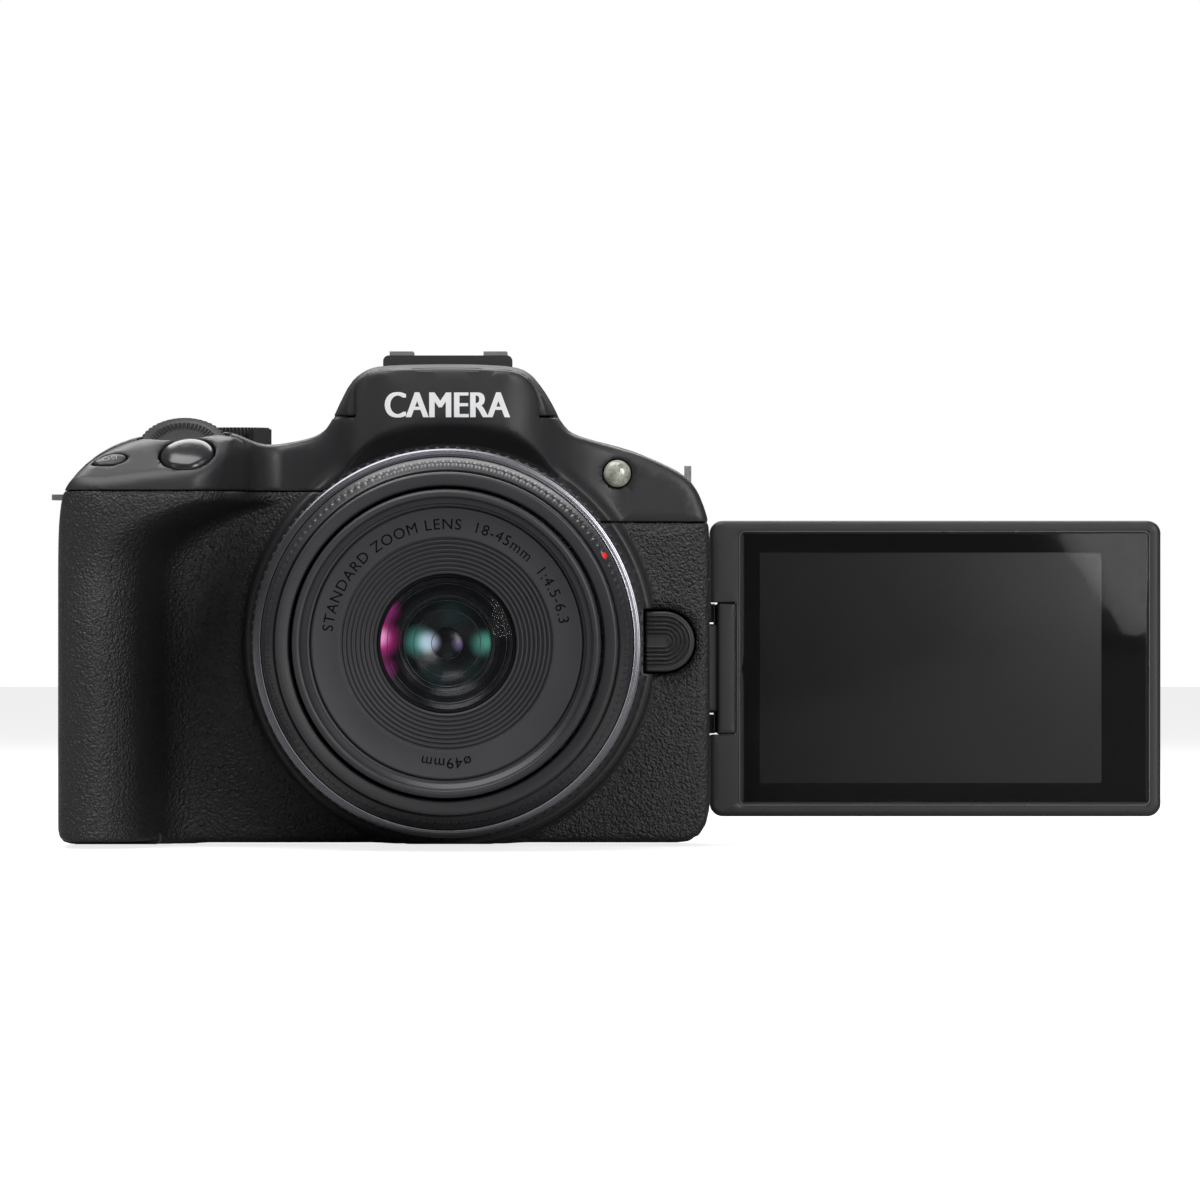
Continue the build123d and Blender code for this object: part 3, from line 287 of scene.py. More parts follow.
FLOOR = material("pale_floor", (0.4, 0.4, 0.4), 0.85, specular=0.1, vary=0.03, mottle=8,
                 Emission_Color=(1, 1, 1, 1))
seen = FLOOR.node_tree.nodes.new("ShaderNodeLightPath")
lift = FLOOR.node_tree.nodes.new("ShaderNodeMapRange")
lift.inputs["To Max"].default_value = 0.8
FLOOR.node_tree.links.new(seen.outputs["Is Camera Ray"], lift.inputs["Value"])
FLOOR.node_tree.links.new(lift.outputs["Result"],
                          FLOOR.node_tree.nodes["Principled BSDF"].inputs["Emission Strength"])


# ------------------------------------------------------------------ mesh helpers
def place(name, points, faces, paint, body, stands_for=(), slot="smooth", smooth=True):
    """A mesh piece from points in mm that rides on a body and may stand for CAD nodes"""
    mesh = bpy.data.meshes.new(name)
    mesh.from_pydata([tuple(p) for p in np.asarray(points, float) * MM], [], [tuple(f) for f in faces])
    mesh.validate()
    made = bpy.data.objects.new(name, mesh)
    scene.collection.objects.link(made)
    mesh.materials.append(paint)
    if smooth:
        mesh.polygons.foreach_set("use_smooth", [True] * len(mesh.polygons))
        mesh.set_sharp_from_angle(angle=math.radians(35))
    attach(made, body)
    if stands_for:
        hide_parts(*stands_for)
    return made


def axis_frame(origin, along, across=(1, 0, 0)):
    """4x4 matrix whose Z runs along a direction, for pieces turned about it"""
    z = Vector(along).normalized()
    x = (Vector(across) - Vector(across).dot(z) * z).normalized()
    y = z.cross(x)
    return Matrix(((x[0], y[0], z[0], origin[0]), (x[1], y[1], z[1], origin[1]),
                   (x[2], y[2], z[2], origin[2]),
                   (0, 0, 0, 1)))


LENS_FRAME = axis_frame((0, 0, LENS_Z), (0, -1, 0))


def turned(name, profile, where, paint, body, segments=256, shape=None, closed=True, **more):
    """Profile of (radius, height) points turned about a frame's Z; shape(r, h, angle) gives other radii"""
    angles = np.linspace(0, 2 * math.pi, segments, endpoint=False)
    points = []
    for r, h in profile:
        radius = np.full(segments, float(r)) if shape is None else shape(r, h, angles)
        points.append(np.stack([radius * np.cos(angles), radius * np.sin(angles), np.full(segments, h)], 1))
    count = len(profile)
    points = np.concatenate(points)
    faces = []
    rows = count if closed else count - 1
    for i in range(rows):
        j = (i + 1) % count
        for k in range(segments):
            n = (k + 1) % segments
            faces.append((i * segments + k, i * segments + n, j * segments + n, j * segments + k))
    turn = np.array(where)
    points = points @ turn[:3, :3].T + turn[:3, 3]
    return place(name, points, faces, paint, body, **more)


def rounded(profile, radius=0.2, steps=3):
    """A closed (radius, height) profile with its corners cut round"""
    out = []
    count = len(profile)
    for i in range(count):
        before, here, after = (Vector(profile[(i + k) % count]) for k in (-1, 0, 1))
        back = before - here
        ahead = after - here
        cut = min(radius, back.length * 0.45, ahead.length * 0.45)
        a, b = here + back.normalized() * cut, here + ahead.normalized() * cut
        for k in range(steps + 1):
            t = k / steps
            out.append(tuple(a * (1 - t) ** 2 + here * 2 * t * (1 - t) + b * t ** 2))
    return out


# ------------------------------------------------------------------ solids from distance fields
def smax(a, b, r):
    """Intersection of two fields with an edge rounded to r"""
    u, v = np.maximum(a + r, 0), np.maximum(b + r, 0)
    return np.minimum(np.maximum(a, b), -r) + np.sqrt(u * u + v * v)


def smin(a, b, r):
    """Union of two fields with a fillet of r"""
    return -smax(-a, -b, r)


def ramp(v, low, high):
    """Smooth rise from 0 to 1 between two values"""
    t = np.clip((v - low) / (high - low), 0, 1)
    return t * t * (3 - 2 * t)


def box_field(grid, x, y, z, r=0.3):
    """Box between two corners, with rounded edges"""
    q = [np.abs(g - (a + b) / 2) - abs(b - a) / 2 + r for g, (a, b) in zip(grid, (x, y, z))]
    outside = np.sqrt(sum(np.maximum(v, 0) ** 2 for v in q))
    return outside + np.minimum(np.maximum(np.maximum(q[0], q[1]), q[2]), 0) - r


def rod_field(grid, where, radius, low, high, r=0.2):
    """Cylinder along a frame's Z between two heights"""
    X, Y, Z = grid
    o = [where[i][3] for i in range(3)]
    d = [where[i][2] for i in range(3)]
    h = (X - o[0]) * d[0] + (Y - o[1]) * d[1] + (Z - o[2]) * d[2]
    across = (X - o[0]) ** 2 + (Y - o[1]) ** 2 + (Z - o[2]) ** 2 - h * h
    return smax(np.sqrt(np.maximum(across, 0)) - radius, np.abs(h - (low + high) / 2) - (high - low) / 2, r)


def outline_field(gx, gz, points):
    """Signed distance to a closed outline in a plane, negative inside"""
    px, pz = np.broadcast_arrays(gx, gz)
    best = np.full(px.shape, 1e9)
    inside = np.zeros(px.shape, bool)
    for (ax, az), (bx, bz) in zip(points, points[1:] + points[:1]):
        ex, ez = bx - ax, bz - az
        t = np.clip(((px - ax) * ex + (pz - az) * ez) / (ex * ex + ez * ez), 0, 1)
        best = np.minimum(best, (px - ax - t * ex) ** 2 + (pz - az - t * ez) ** 2)
        if az != bz:
            crosses = (pz < az) != (pz < bz)
            inside ^= crosses & (px < ax + (pz - az) * ex / ez)
    return np.sqrt(best) * np.where(inside, -1, 1)


def curve_through(knots, steps=8):
    """Points on a Catmull-Rom curve through knots"""
    out = []
    for i in range(len(knots) - 1):
        p = [np.array(knots[max(0, min(len(knots) - 1, i + k))], float) for k in (-1, 0, 1, 2)]
        for s in range(steps):
            t = s / steps
            square, cube = 2 * p[0] - 5 * p[1] + 4 * p[2] - p[3], 3 * p[1] - p[0] - 3 * p[2] + p[3]
            out.append(tuple(0.5 * (2 * p[1] + (p[2] - p[0]) * t + square * t * t + cube * t ** 3)))
    out.append(tuple(float(v) for v in knots[-1]))
    return out


def grid_over(low, high, voxel):
    """Coordinates of the voxels in a box, one open array for each axis"""
    axes = [np.arange(a - 3 * voxel, b + 3 * voxel, voxel, dtype=np.float32) for a, b in zip(low, high)]
    return axes[0][:, None, None], axes[1][None, :, None], axes[2][None, None, :]


def skin(name, field, grid, voxel, paint, body, flat=0.02, **more):
    """Mesh of the zero surface of a field"""
    values = np.clip(np.broadcast_to(field, tuple(g.size for g in grid)), -3 * voxel, 3 * voxel)
    volume = vdb.FloatGrid(3 * voxel)
    volume.copyFromArray(np.ascontiguousarray(values, np.float32))
    points, triangles, quads = volume.convertToPolygons(isovalue=0.0, adaptivity=flat)
    points = points * voxel + np.array([g.ravel()[0] for g in grid])
    faces = [tuple(f[::-1]) for f in triangles] + [tuple(f[::-1]) for f in quads]
    return place(name, points, faces, paint, body, **more)


# ------------------------------------------------------------------ body shells
VOXEL, SCREEN_VOXEL, ARM_VOXEL, KEY_VOXEL, CUP_VOXEL = (
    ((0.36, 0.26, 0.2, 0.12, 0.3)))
OUTLINE = (
    [(-69.7, 2.6), (-69.7, 30.0)]
    + curve_through([(-69.7, 50), (-69.5, 57.5), (-68.5, 63.0), (-65.4, 67.1), (-62.2, 69.6), (-58.8, 71.4),
                     (-54.0, 72.9), (-49.0, 73.5), (-44.0, 73.6), (-40.5, 73.5), (-37.6, 72.9),
                     (-34.6, 71.6), (-32.0, 71.2), (-28.0, 71.7), (-24.8, 72.4), (-22.4, 73.6),
                     (-20.8, 75.9), (-19.2, 79.4), (-17.6, 82.2), (-15.4, 84.1), (-12.6, 85.1),
                     (-7.0, 85.4), (0.0, 85.5), (6.0, 85.4),
                     (11.4, 85.0), (14.2, 83.8), (16.3, 81.5), (18.3, 78.3), (19.9, 75.2), (21.9, 73.2),
                     (25.8, 71.9), (30.0, 70.9), (34.1, 69.7), (38.6, 67.8), (41.9, 65.9), (44.0, 63.6),
                     (45.4, 60.6), (46.3, 57.4), (46.6, 53.0)])
    + [(46.6, 30.0), (46.6, 6.5), (45.9, 3.4), (44.6, 1.4), (42.6, 0.25), (40.5, 0.0), (-67.1, 0.0),
       (-68.6, 0.45), (-69.4, 1.3)])
FRONT_Y, BACK_Y, SPLIT_Y = -14.5, 19.3, 6.0
WALL = 1.9
FLARE_Z, FLARE_HEIGHT = 46.0, 15.0
HAND_X, HAND_INNER_X, FLARE_WIDTH = -69.7, -49.3, 14.9
SLOPE_AT = (-46.2, -32.7, 69.5)
SLOPE = axis_frame(SLOPE_AT, (-0.12, -0.6745, 1), (1, 0, 0.12))
DIAL = axis_frame((-47.3, -16.0, 69.8), (0, -0.62, 0.785))
MODE = axis_frame((-38.9, 3.0, 68.5), (0, 0, 1))
MOVIE = axis_frame((-56.5, 2.0, 68.5), (0, 0, 1))
ISO = axis_frame(tuple(SLOPE @ Vector((-13.7, 1.0, 0))), (-0.12, -0.6745, 1), (1, 0, 0.12))
REAR_KEYS = {
    "ae_lock": (-47.0, 56.6, 2.4), "af_point": (-59.5, 56.6, 2.4), "info": (-46.5, 45.5, 2.6),
    "play": (-62.0, 14.0, 2.6), "menu": (-46.5, 14.0, 2.6),
}
PAD = (-54.0, 31.0, 9.6)
KEY_X, KEY_Z = 38.2, 36.1
LAMP_FRAME = axis_frame((29.8, FRONT_Y, 66.0), (0, -1, 0))
SWING_X, SWING_Y, SCREEN_Z = 45, 15.5, 31.15
WORDS_X, WORDS_Z = -0.3, 75.9


def rear_frame(x, z):
    """Frame of a key on the back of the body"""
    return axis_frame((x, BACK_Y, z), (0, 1, 0), (-1, 0, 0))


def door_field(grid, x, y, z, grow=0.0):
    """Opening of a port door, grown all round for its gap"""
    return box_field(grid, (x[0] - grow, x[1] + grow), (y[0] - grow, y[1] + grow),
                     (z[0] - grow, z[1] + grow), 0.5)


def flash_zone(grid, gap=0.0):
    """The U of the flash head"""
    X, Y, Z = grid
    bar = np.maximum(np.maximum(-21.0 - gap * 2.4 - Y, Y + 9.5 - gap * 3.4), 76.2 - gap - Z)
    away = np.sqrt((Y - 1.0) ** 2 + (Z - 82.0) ** 2)
    rear = np.where(Y > 1.0, away - 3.6 - gap * 1.8, 82.0 - 3.6 - gap - Z)
    arm = np.maximum(np.maximum(13.3 - gap - np.abs(X), rear), -10.5 - Y)
    return np.minimum(bar, arm)


grid = grid_over((-71.6, -39.4, -1.0), (48.4, 26.0, 87.5), VOXEL)
X, Y, Z = grid
edge = outline_field(X[:, 0, :], Z[0, :, :], OUTLINE)[:, None, :].astype(np.float32)
LENS_R = np.sqrt(X ** 2 + (Z - LENS_Z) ** 2)

# body block, and the grip with its flare under the shoulder
body = smax(edge, np.abs(Y - (FRONT_Y + BACK_Y) / 2) - (BACK_Y - FRONT_Y) / 2, 2.0)
flare = np.clip((Z - FLARE_Z) / FLARE_HEIGHT, 0, 1) ** 3
nose_y = -36.9 - 0.9 * ramp(Z, 5, 40) + 1.3 * np.exp(-((Z - 50) / 8) ** 2)
inner_x = HAND_INNER_X + FLARE_WIDTH * flare
lean = 0.31 - 0.06 * flare
inner_wall = (X - inner_x) * np.sqrt(1 - lean ** 2) - (Y - FRONT_Y) * lean
hand = smax(smax(nose_y - Y, HAND_X - X, 9.0), inner_wall, 6.5 - 1.4 * flare)
hand = np.maximum(hand, Y - 4.0)
hand = np.maximum(hand, edge)
slope = sum((g - o) * SLOPE[i][2] for i, (g, o) in enumerate(zip(grid, SLOPE_AT)))
slope = slope - 30 * ramp(X, -33.5, -27.0)
body = smin(body, hand, 5.0)
# prow over the lens, and the eyepiece housing
flank = (np.abs(X + 0.4) - 14.6) * 0.72 - (Y + 24.0) * 0.69
prow = smax(-24.0 - Y, flank, 3.0)
prow = smax(prow, Y + 8.0, 0.5)
prow = np.maximum(prow, 56.0 - Z)
face = smin(body, smax(prow, edge + 0.7, 1.2), 5.0)
body = np.where(Y < -21.6, smax(face, edge + 0.75, 0.7), smax(face, edge, 1.0))
housing = smax(smax(edge, np.abs(X + 1.0) - 19.0, 3.0), Y - 24.0, 2.4)
housing = smax(housing, 62.5 - Z, 3.0)
body = smin(body, np.maximum(housing, -Y), 2.0)
body = smin(body, rod_field(grid, LENS_FRAME, 36.6, 10.0, 19.0, 1.2), 1.6)
# slope of the release, dial shelf, thumb rest, lens opening and screen recess
body = smax(body, slope, 1.6)
plate = smax(smax(X + 29.3, -10.5 - Y, 3.0), 68.5 - Z, 1.2)
body = smax(body, -plate, 1.2)
rest = np.sqrt(((X + 62) / 5.5) ** 2 + ((Y - 17.5) / 3.4) ** 2 + ((Z - 47) / 11) ** 2)
body = smin(body, (rest - 1) * 3.2, 2.5)
body = np.maximum(body, edge)
body = smax(body, -np.maximum(LENS_R - (35.1 + (-19 - Y) * 0.72), Y + 19.0), 0.7)
body = smax(body, -box_field(grid, (-38.4, 80), (11.5, 60), (3.9, 58.4), 0.8), 0.6)
outer = body
# dial well, flash, shoe, eyepiece, slider, doors and lugs
body = smax(body, -rod_field(grid, DIAL, 8.55, -2.4, 16, 0.3), 0.5)
body = smax(body, -flash_zone(grid, 0.3), 0.3)
body = smax(body, -box_field(grid, (-11.1, 10.3), (-4.2, 14.7), (84.5, 99), 0.3), 0.3)
body = smax(body, -box_field(grid, (-12.2, 11.3), (-7.1, -4.0), (85.0, 99), 0.2), 0.2)
body = smax(body, -box_field(grid, (-9.8, 9.2), (20, 40), (67.2, 79.2), 1.5), 0.4)
body = smax(body, -box_field(grid, (16.0, 18.6), (22.2, 30), (66, 74), 1.0), 0.3)
body = smax(body, -door_field(grid, (46.6 - 1.25, 50), (-6.5, 4.5), (40, 52), 0.25), 0.2)
body = smax(body, -door_field(grid, (-75, -69.7 + 1.25), (-3, 15), (51.5, 59.5), 0.25), 0.2)
body = smax(
    body, -np.maximum(box_field(grid, (-66.6, -50.8), (-21.4, 13.2), (-3, 2.6), 0.4), outer + 0.9), 0.2)
body = smax(body, -box_field(grid, (-73, -67.4), (-2.4, 8.4), (60.6, 63.3), 0.4), 0.3)
body = smax(body, -box_field(grid, (41.0, 44.4), (-2.4, 8.4), (64.2, 75), 0.4), 0.3)
shell = np.maximum(body, -body - WALL)
holes = [
    rod_field(grid, SLOPE, 5.1, -7, 6), rod_field(grid, MOVIE, 2.85, -7, 6),
    rod_field(grid, MODE, 2.3, -7, 6), rod_field(grid, DIAL, 1.8, -9, 0),
    rod_field(grid, LENS_FRAME, 32.3, 8, 40), rod_field(grid, LAMP_FRAME, 2.65, -4, 5),
    rod_field(grid, rear_frame(*PAD[:2]), PAD[2] + 0.25, -6, 5),
    rod_field(grid, axis_frame((0, 0, 0), (0, 0, 1)), 5.5, -3, 9),
    box_field(grid, (42.4, 46.4), (9, 14), (19.65, 42.65), 0.1),
    box_field(grid, (46.6 - 5, 50), (-4.3, 2.3), (42.7, 49.3), 1.0),
    box_field(grid, (-75, -66), (0.5, 13.2), (54.0, 57.4), 0.2),
    box_field(grid, (-65.6, -53.6), (-20.6, 12.2), (-3, 9), 0.2),
]
holes += [rod_field(grid, rear_frame(x, z), r + 0.25, -6, 5) for x, z, r in REAR_KEYS.values()]
holes += [rod_field(grid, axis_frame((x, y, 0), (0, 0, 1)), 2.15, -3, 1.6)
          for x, y in ((30, -6), (38, 4), (-30, -6))]
local = [sum((g - ISO[k][3]) * ISO[k][i] for k, g in enumerate(grid)) for i in range(3)]
holes.append(np.maximum((np.sqrt((local[0] / 3.25) ** 2 + (local[1] / 2.0) ** 2) - 1) * 2.0, -local[2] - 7))
u = np.sqrt((X - KEY_X) ** 2 + (Z - KEY_Z) ** 2)
key_shape = np.maximum(np.where(X > KEY_X, u, np.abs(Z - KEY_Z)) - 5.4, 34.8 - X)
holes.append(np.maximum(np.maximum(key_shape - 0.35, Y + 9), -23 - Y))
for hole in holes:
    shell = smax(shell, -hole, 0.25)
funnel = np.maximum(np.maximum(key_shape - 0.35 - (-14.0 - Y) * 2.4, Y + 12.0), 36.7 - LENS_R)
shell = smax(shell, -funnel, 0.2)
seam = np.where(Y > SPLIT_Y, 60.4, np.where(X < 0, 62.8, 57.3)).astype(np.float32)
above = seam - Z
GAP, SOFT = 0.07, 0.22


def cover(name, field, low, high, paint, node, slot_name, rides="body"):
    """One cover from the shell, within its part of the grid"""
    pick = [slice(max(0, int((a - g.ravel()[0]) / VOXEL) - 3), int((b - g.ravel()[0]) / VOXEL) + 4)
            for g, a, b in zip(grid, low, high)]
    part = (X[pick[0]], Y[:, pick[1]], Z[:, :, pick[2]])
    return skin(name, field[tuple(pick)], part, VOXEL, paint, rides, flat=0.03,
                stands_for=node if isinstance(node, tuple) else (node,), slot=slot_name)


top = cover("top_shell", smax(shell, above + GAP, SOFT), (-71, -39, 56.5), (48, 26, 87), SATIN, "top_cover",
            "smooth")
lower = smax(shell, -above + GAP, SOFT)
foot = body[:, :, int((3.0 - Z.ravel()[0]) / VOXEL)][:, :, None] + 1.7
lower = smax(np.maximum(lower, 0.12 - Z), -smax(foot, Z - 3.2, 0.2) + GAP, SOFT)
front = cover("front_shell", smax(lower, Y - SPLIT_Y + GAP, SOFT), (-71, -39, -1), (48, 7, 64), GRAIN,
              ("front_cover", "grip_cover"), "grained")
front.data.materials.append(SATIN)
# smooth plastic round the lens, grain elsewhere
centres = np.empty(len(front.data.polygons) * 3, np.float32)
front.data.polygons.foreach_get("center", centres)
centres = centres.reshape(-1, 3) / MM
ring = (np.hypot(centres[:, 0], centres[:, 2] - LENS_Z) < 37.4) & (centres[:, 1] < -14.9)
front.data.polygons.foreach_set("material_index", ring.astype(np.int32))
cover("rear_shell", smax(lower, SPLIT_Y + GAP - Y, SOFT), (-71, 5, -1), (48, 25, 62), SATIN, "rear_cover",
      "smooth")
cover("base_shell", smax(smax(smax(np.maximum(body, 0.12 - Z), Z - 3.0, SOFT), foot + GAP, SOFT),
                         -np.minimum.reduce([holes[7], holes[11], holes[-3], holes[-4], holes[-5]]), 0.2),
      (-71, -39, -1), (48, 25, 3.5), SATIN, "bottom_cover", "smooth")
flash = smax(np.maximum(outer, flash_zone(grid)),
             -np.maximum(0.389 * (Y + 16.5) + 0.921 * (Z - 78.1), np.abs(X) - 13.9), 0.2)
cover("flash_shell", flash, (-22, -22, 75.5), (21, 5.5, 87), SATIN, "flash_head", "smooth", "flash")
iso_oval = (np.sqrt((local[0] / 2.95) ** 2 + (local[1] / 1.7) ** 2) - 1) * 1.7
cover("iso_cap", np.maximum(smax(outer - 0.12, iso_oval, 0.3), -local[2] - 3.0), (-66, -39, 58),
      (-54, -20, 74), SATIN, "iso_button", "smooth", "iso_key")
del shell, lower, body, outer, flash, holes, hand


# ------------------------------------------------------------------ lens
def knurl(count, depth, low, high, sharp=1.0):
    """Radius with ribs between two heights"""
    def shape(r, h, angles):
        wave = np.cos(angles * count)
        wave = np.sign(wave) * np.abs(wave) ** sharp
        return r + depth * 0.5 * (wave - 1) * (low < h < high)
    return shape


def steps_between(low, high, count):
    """Evenly spaced heights from low to high"""
    return [low + (high - low) * k / (count - 1) for k in range(count)]


turned("barrel_shell", rounded([(31.9, 21.85), (32.3, 22.7), (34.2, 27.6), (34.2, 33.0), (28.4, 33.0),
                                (28.4, 59.3), (29.9, 59.3), (29.9, 61.7), (29.5, 62.0), (27.6, 61.8),
                                (27.4, 61.4), (27.4, 21.85)], 0.25),
       LENS_FRAME, LENS_SATIN, "lens", stands_for=("lens_barrel",), slot="smooth")
grip_rows = ([(34.0, 35.6), (34.35, 35.9)] + [(34.5, h) for h in steps_between(36.2, 47.4, 6)]
             + [(34.35, 47.7), (34.0, 48.0)])
turned("zoom_grip", [(33.0, 33.4), (33.7, 33.45), (33.95, 33.7), (34.0, 34.0)] + grip_rows
       + [(34.1, 48.2), (34.15, 48.5), (34.1, 48.7), (33.0, 49.2), (28.9, 49.2), (28.9, 33.4)],
       LENS_FRAME, RUBBER, "zoom", segments=1440, shape=knurl(120, 0.5, 35.8, 47.8, 0.6),
       stands_for=("zoom_ring",), slot="smooth")
turned("zoom_edge", [(34.12, 48.75), (34.08, 49.0), (33.85, 49.2), (33.78, 49.45), (33.6, 49.5),
                     (33.52, 49.72), (33.34, 49.76), (33.26, 49.93), (33.05, 49.95), (32.8, 49.9),
                     (32.7, 49.3), (33.0, 48.9)],
       LENS_FRAME, EDGE, "zoom", slot="alloy", smooth=False)
turned("zoom_line", [(33.0, 49.85), (32.95, 50.02), (32.8, 50.04), (32.72, 49.85)], LENS_FRAME, BRIGHT,
       "zoom", slot="alloy")
turned("control_grip", [(32.3, 50.4), (32.6, 50.5), (32.6, 50.8), (32.25, 51.6), (31.75, 53.0)]
       + [(31.6, h) for h in steps_between(53.2, 57.2, 4)]
       + [(31.45, 57.4), (31.3, 57.7), (30.6, 58.75), (30.4, 58.95), (30.2, 58.9), (30.2, 58.4),
          (28.9, 58.2), (28.9, 50.4)],
       LENS_FRAME, LENS_SATIN, "control", segments=1440, shape=knurl(144, 0.22, 53.1, 57.6, 0.7),
       stands_for=("control_ring",), slot="smooth")
thread = []
for k in range(4):
    thread += [(24.9, 63.2 - 0.5 * k), (24.5, 62.95 - 0.5 * k)]
turned("front_barrel", rounded([(26.9, 40.0), (26.9, 63.6), (26.7, 64.1), (26.3, 64.3), (25.7, 64.25),
                                (25.3, 63.7)], 0.12, 3)[4:]
       + thread + [(24.35, 61.2), (23.95, 61.15), (23.9, 60.3), (13.2, 58.2), (13.2, 46.0), (14.2, 46.0),
                   (14.2, 57.4), (25.6, 59.4), (25.6, 40.0), (26.9, 40.0)],
       LENS_FRAME, LENS_SATIN, "barrel", stands_for=("inner_barrel",), slot="smooth")
ridges = []
for k in range(8):
    r = 18.75 - 0.78 * k
    drop = 61.1 - 0.235 * k
    ridges += [(r, drop), (r - 0.16, drop - 0.03), (r - 0.24, drop - 0.55), (r - 0.46, drop - 0.6),
               (r - 0.66, drop - 0.26)]
turned("name_plate",
       [(23.7, 60.6), (23.7, 61.05), (23.55, 61.15), (23.3, 61.15), (23.1, 61.08)] + [(19.2, 61.1)] + ridges
       + [(12.45, 59.2), (12.25, 59.05), (12.2, 58.8), (12.2, 57.3), (13.1, 57.3), (13.1, 58.3),
          (23.2, 60.4)],
       LENS_FRAME, PLATE, "barrel", stands_for=("name_ring",), slot="panel_glass")
turned("cell_ring",
       rounded([(12.15, 50.0), (12.15, 57.9), (11.75, 58.0), (11.65, 57.2), (11.65, 50.0)], 0.08, 2),
       LENS_FRAME, INNER, "barrel", segments=160, slot="inner")


def lens_element(name, radius, front, sag, thickness, back_sag, paint, body, **more):
    """Glass with a spherical front and back"""
    profile = [(max(0.01, radius * k / 14), front - sag * (k / 14) ** 2) for k in range(15)]
    profile += [(radius * k / 14 if k else 0.01, front - thickness + back_sag * (k / 14) ** 2)
                for k in range(14, -1, -1)]
    return turned(name, profile, LENS_FRAME, paint, body, segments=128, **more)


lens_element("front_element", 11.6, 58.3, 1.3, 3.2, 0.4, COATED_GLASS, "barrel",
             stands_for=("front_glass",), slot="glass")
# the cone and the second and third elements carry the painted coating reflections
turned("dark_cone", rounded([(11.6, 54.8), (10.7, 54.2), (9.3, 52.9), (8.3, 52.2), (7.7, 51.9),
                             (7.7, 49.2), (11.6, 49.2)], 0.2, 3),
       LENS_FRAME, VIOLET, "barrel", segments=160, slot="inner")
for number, (r, h) in enumerate(((10.45, 54.06), (8.35, 52.28), (7.55, 51.62), (5.85, 50.3), (2.75, 49.3))):
    turned(f"coating_line_{number}",
           [(r + 0.07, h), (r + 0.02, h + 0.09), (r - 0.05, h + 0.05), (r - 0.02, h - 0.05)],
           LENS_FRAME, FAINT, "barrel", segments=128, slot="steel")
turned("second_element", [(7.7, 51.7), (6.8, 50.9), (5.9, 50.3), (4.6, 49.7), (3.2, 49.3), (2.8, 49.2),
                          (2.8, 48.9), (7.7, 48.9)],
       LENS_FRAME, TEAL, "barrel", segments=160, slot="glass")
lens_element("third_element", 2.85, 49.2, 0.5, 1.2, 0.2, DEEP, "barrel", slot="glass")


# ------------------------------------------------------------------ lettering
def lettering(name, words, height, paint, body, bend, thick=0.04, width=None, spacing=1.0):
    """Raised words of a cap height in mm; bend turns (x, y, lift) from the words' middle into a point"""
    curve = bpy.data.curves.new(name + "_curve", "FONT")
    curve.body = words
    curve.align_x = "CENTER"
    curve.resolution_u = 5
    curve.space_character = spacing
    holder = bpy.data.objects.new(name + "_curve", curve)
    scene.collection.objects.link(holder)
    bpy.context.view_layer.update()
    flat = bpy.data.meshes.new_from_object(holder)
    bm = bmesh.new()
    bm.from_mesh(flat)
    bmesh.ops.triangulate(bm, faces=bm.faces)
    bmesh.ops.subdivide_edges(bm, edges=[e for e in bm.edges if e.calc_length() > 0.12], cuts=2)
    bmesh.ops.triangulate(bm, faces=bm.faces)
    made = bmesh.ops.extrude_face_region(bm, geom=bm.faces[:])
    lifted = {v for v in made["geom"] if isinstance(v, bmesh.types.BMVert)}
    xs = [v.co.x for v in bm.verts]
    caps = height / 0.729
    middle = (min(xs) + max(xs)) / 2
    stretch = caps if width is None else width / (max(xs) - min(xs))
    for v in bm.verts:
        v.co = Vector(bend((v.co.x - middle) * stretch, v.co.y * caps,
                           thick if v in lifted else -0.06)) * MM
    bmesh.ops.recalc_face_normals(bm, faces=bm.faces)
    mesh = bpy.data.meshes.new(name)
    bm.to_mesh(mesh)
    bm.free()
    bpy.data.objects.remove(holder)
    bpy.data.curves.remove(curve)
    bpy.data.meshes.remove(flat)
    piece = bpy.data.objects.new(name, mesh)
    scene.collection.objects.link(piece)
    mesh.materials.append(paint)
    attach(piece, body)
    return piece


def on_ring(radius, middle, front):
    """Words round the lens axis, their tops outward"""
    def bend(x, y, lift):
        angle = math.radians(middle) - x / (radius + 0.7)
        return ((radius + y) * math.cos(angle), -(front + lift), LENS_Z + (radius + y) * math.sin(angle))
    return bend


def on_front(target, x0, z0):
    """Words laid on the front of a piece"""
    def bend(x, y, lift):
        found, at, _, _ = target.ray_cast(Vector((x0 + x, -60, z0 + y)) * MM, Vector((0, 1, 0)))
        return (x0 + x, (at.y / MM if found else -24.0) - lift, z0 + y)
    return bend


def on_top(target, where, y0):
    """Words laid on a piece from above, read from behind the object"""
    def bend(x, y, lift):
        start = where @ Vector((-x, y0 - y, 8.0))
        down = -Vector((where[0][2], where[1][2], where[2][2]))
        found, at, _, _ = target.ray_cast(start * MM, down)
        return tuple((at / MM if found else start + down * 8) - down * lift)
    return bend


def on_plane(where, turn):
    """Words on the plane of a frame, turned in it"""
    def bend(x, y, lift):
        c, s = math.cos(math.radians(turn)), math.sin(math.radians(turn))
        return tuple(where @ Vector((x * c - y * s, x * s + y * c, lift)))
    return bend


lettering("lens_words", "STANDARD ZOOM LENS  18-45mm  1:4.5-6.3", 1.95, INK, "barrel",
          on_ring(19.95, 92, 61.1), spacing=1.14)
lettering("thread_words", "ø49mm", 1.95, INK, "barrel", on_ring(19.95, -90, 61.1), spacing=1.12)
bpy.context.view_layer.update()
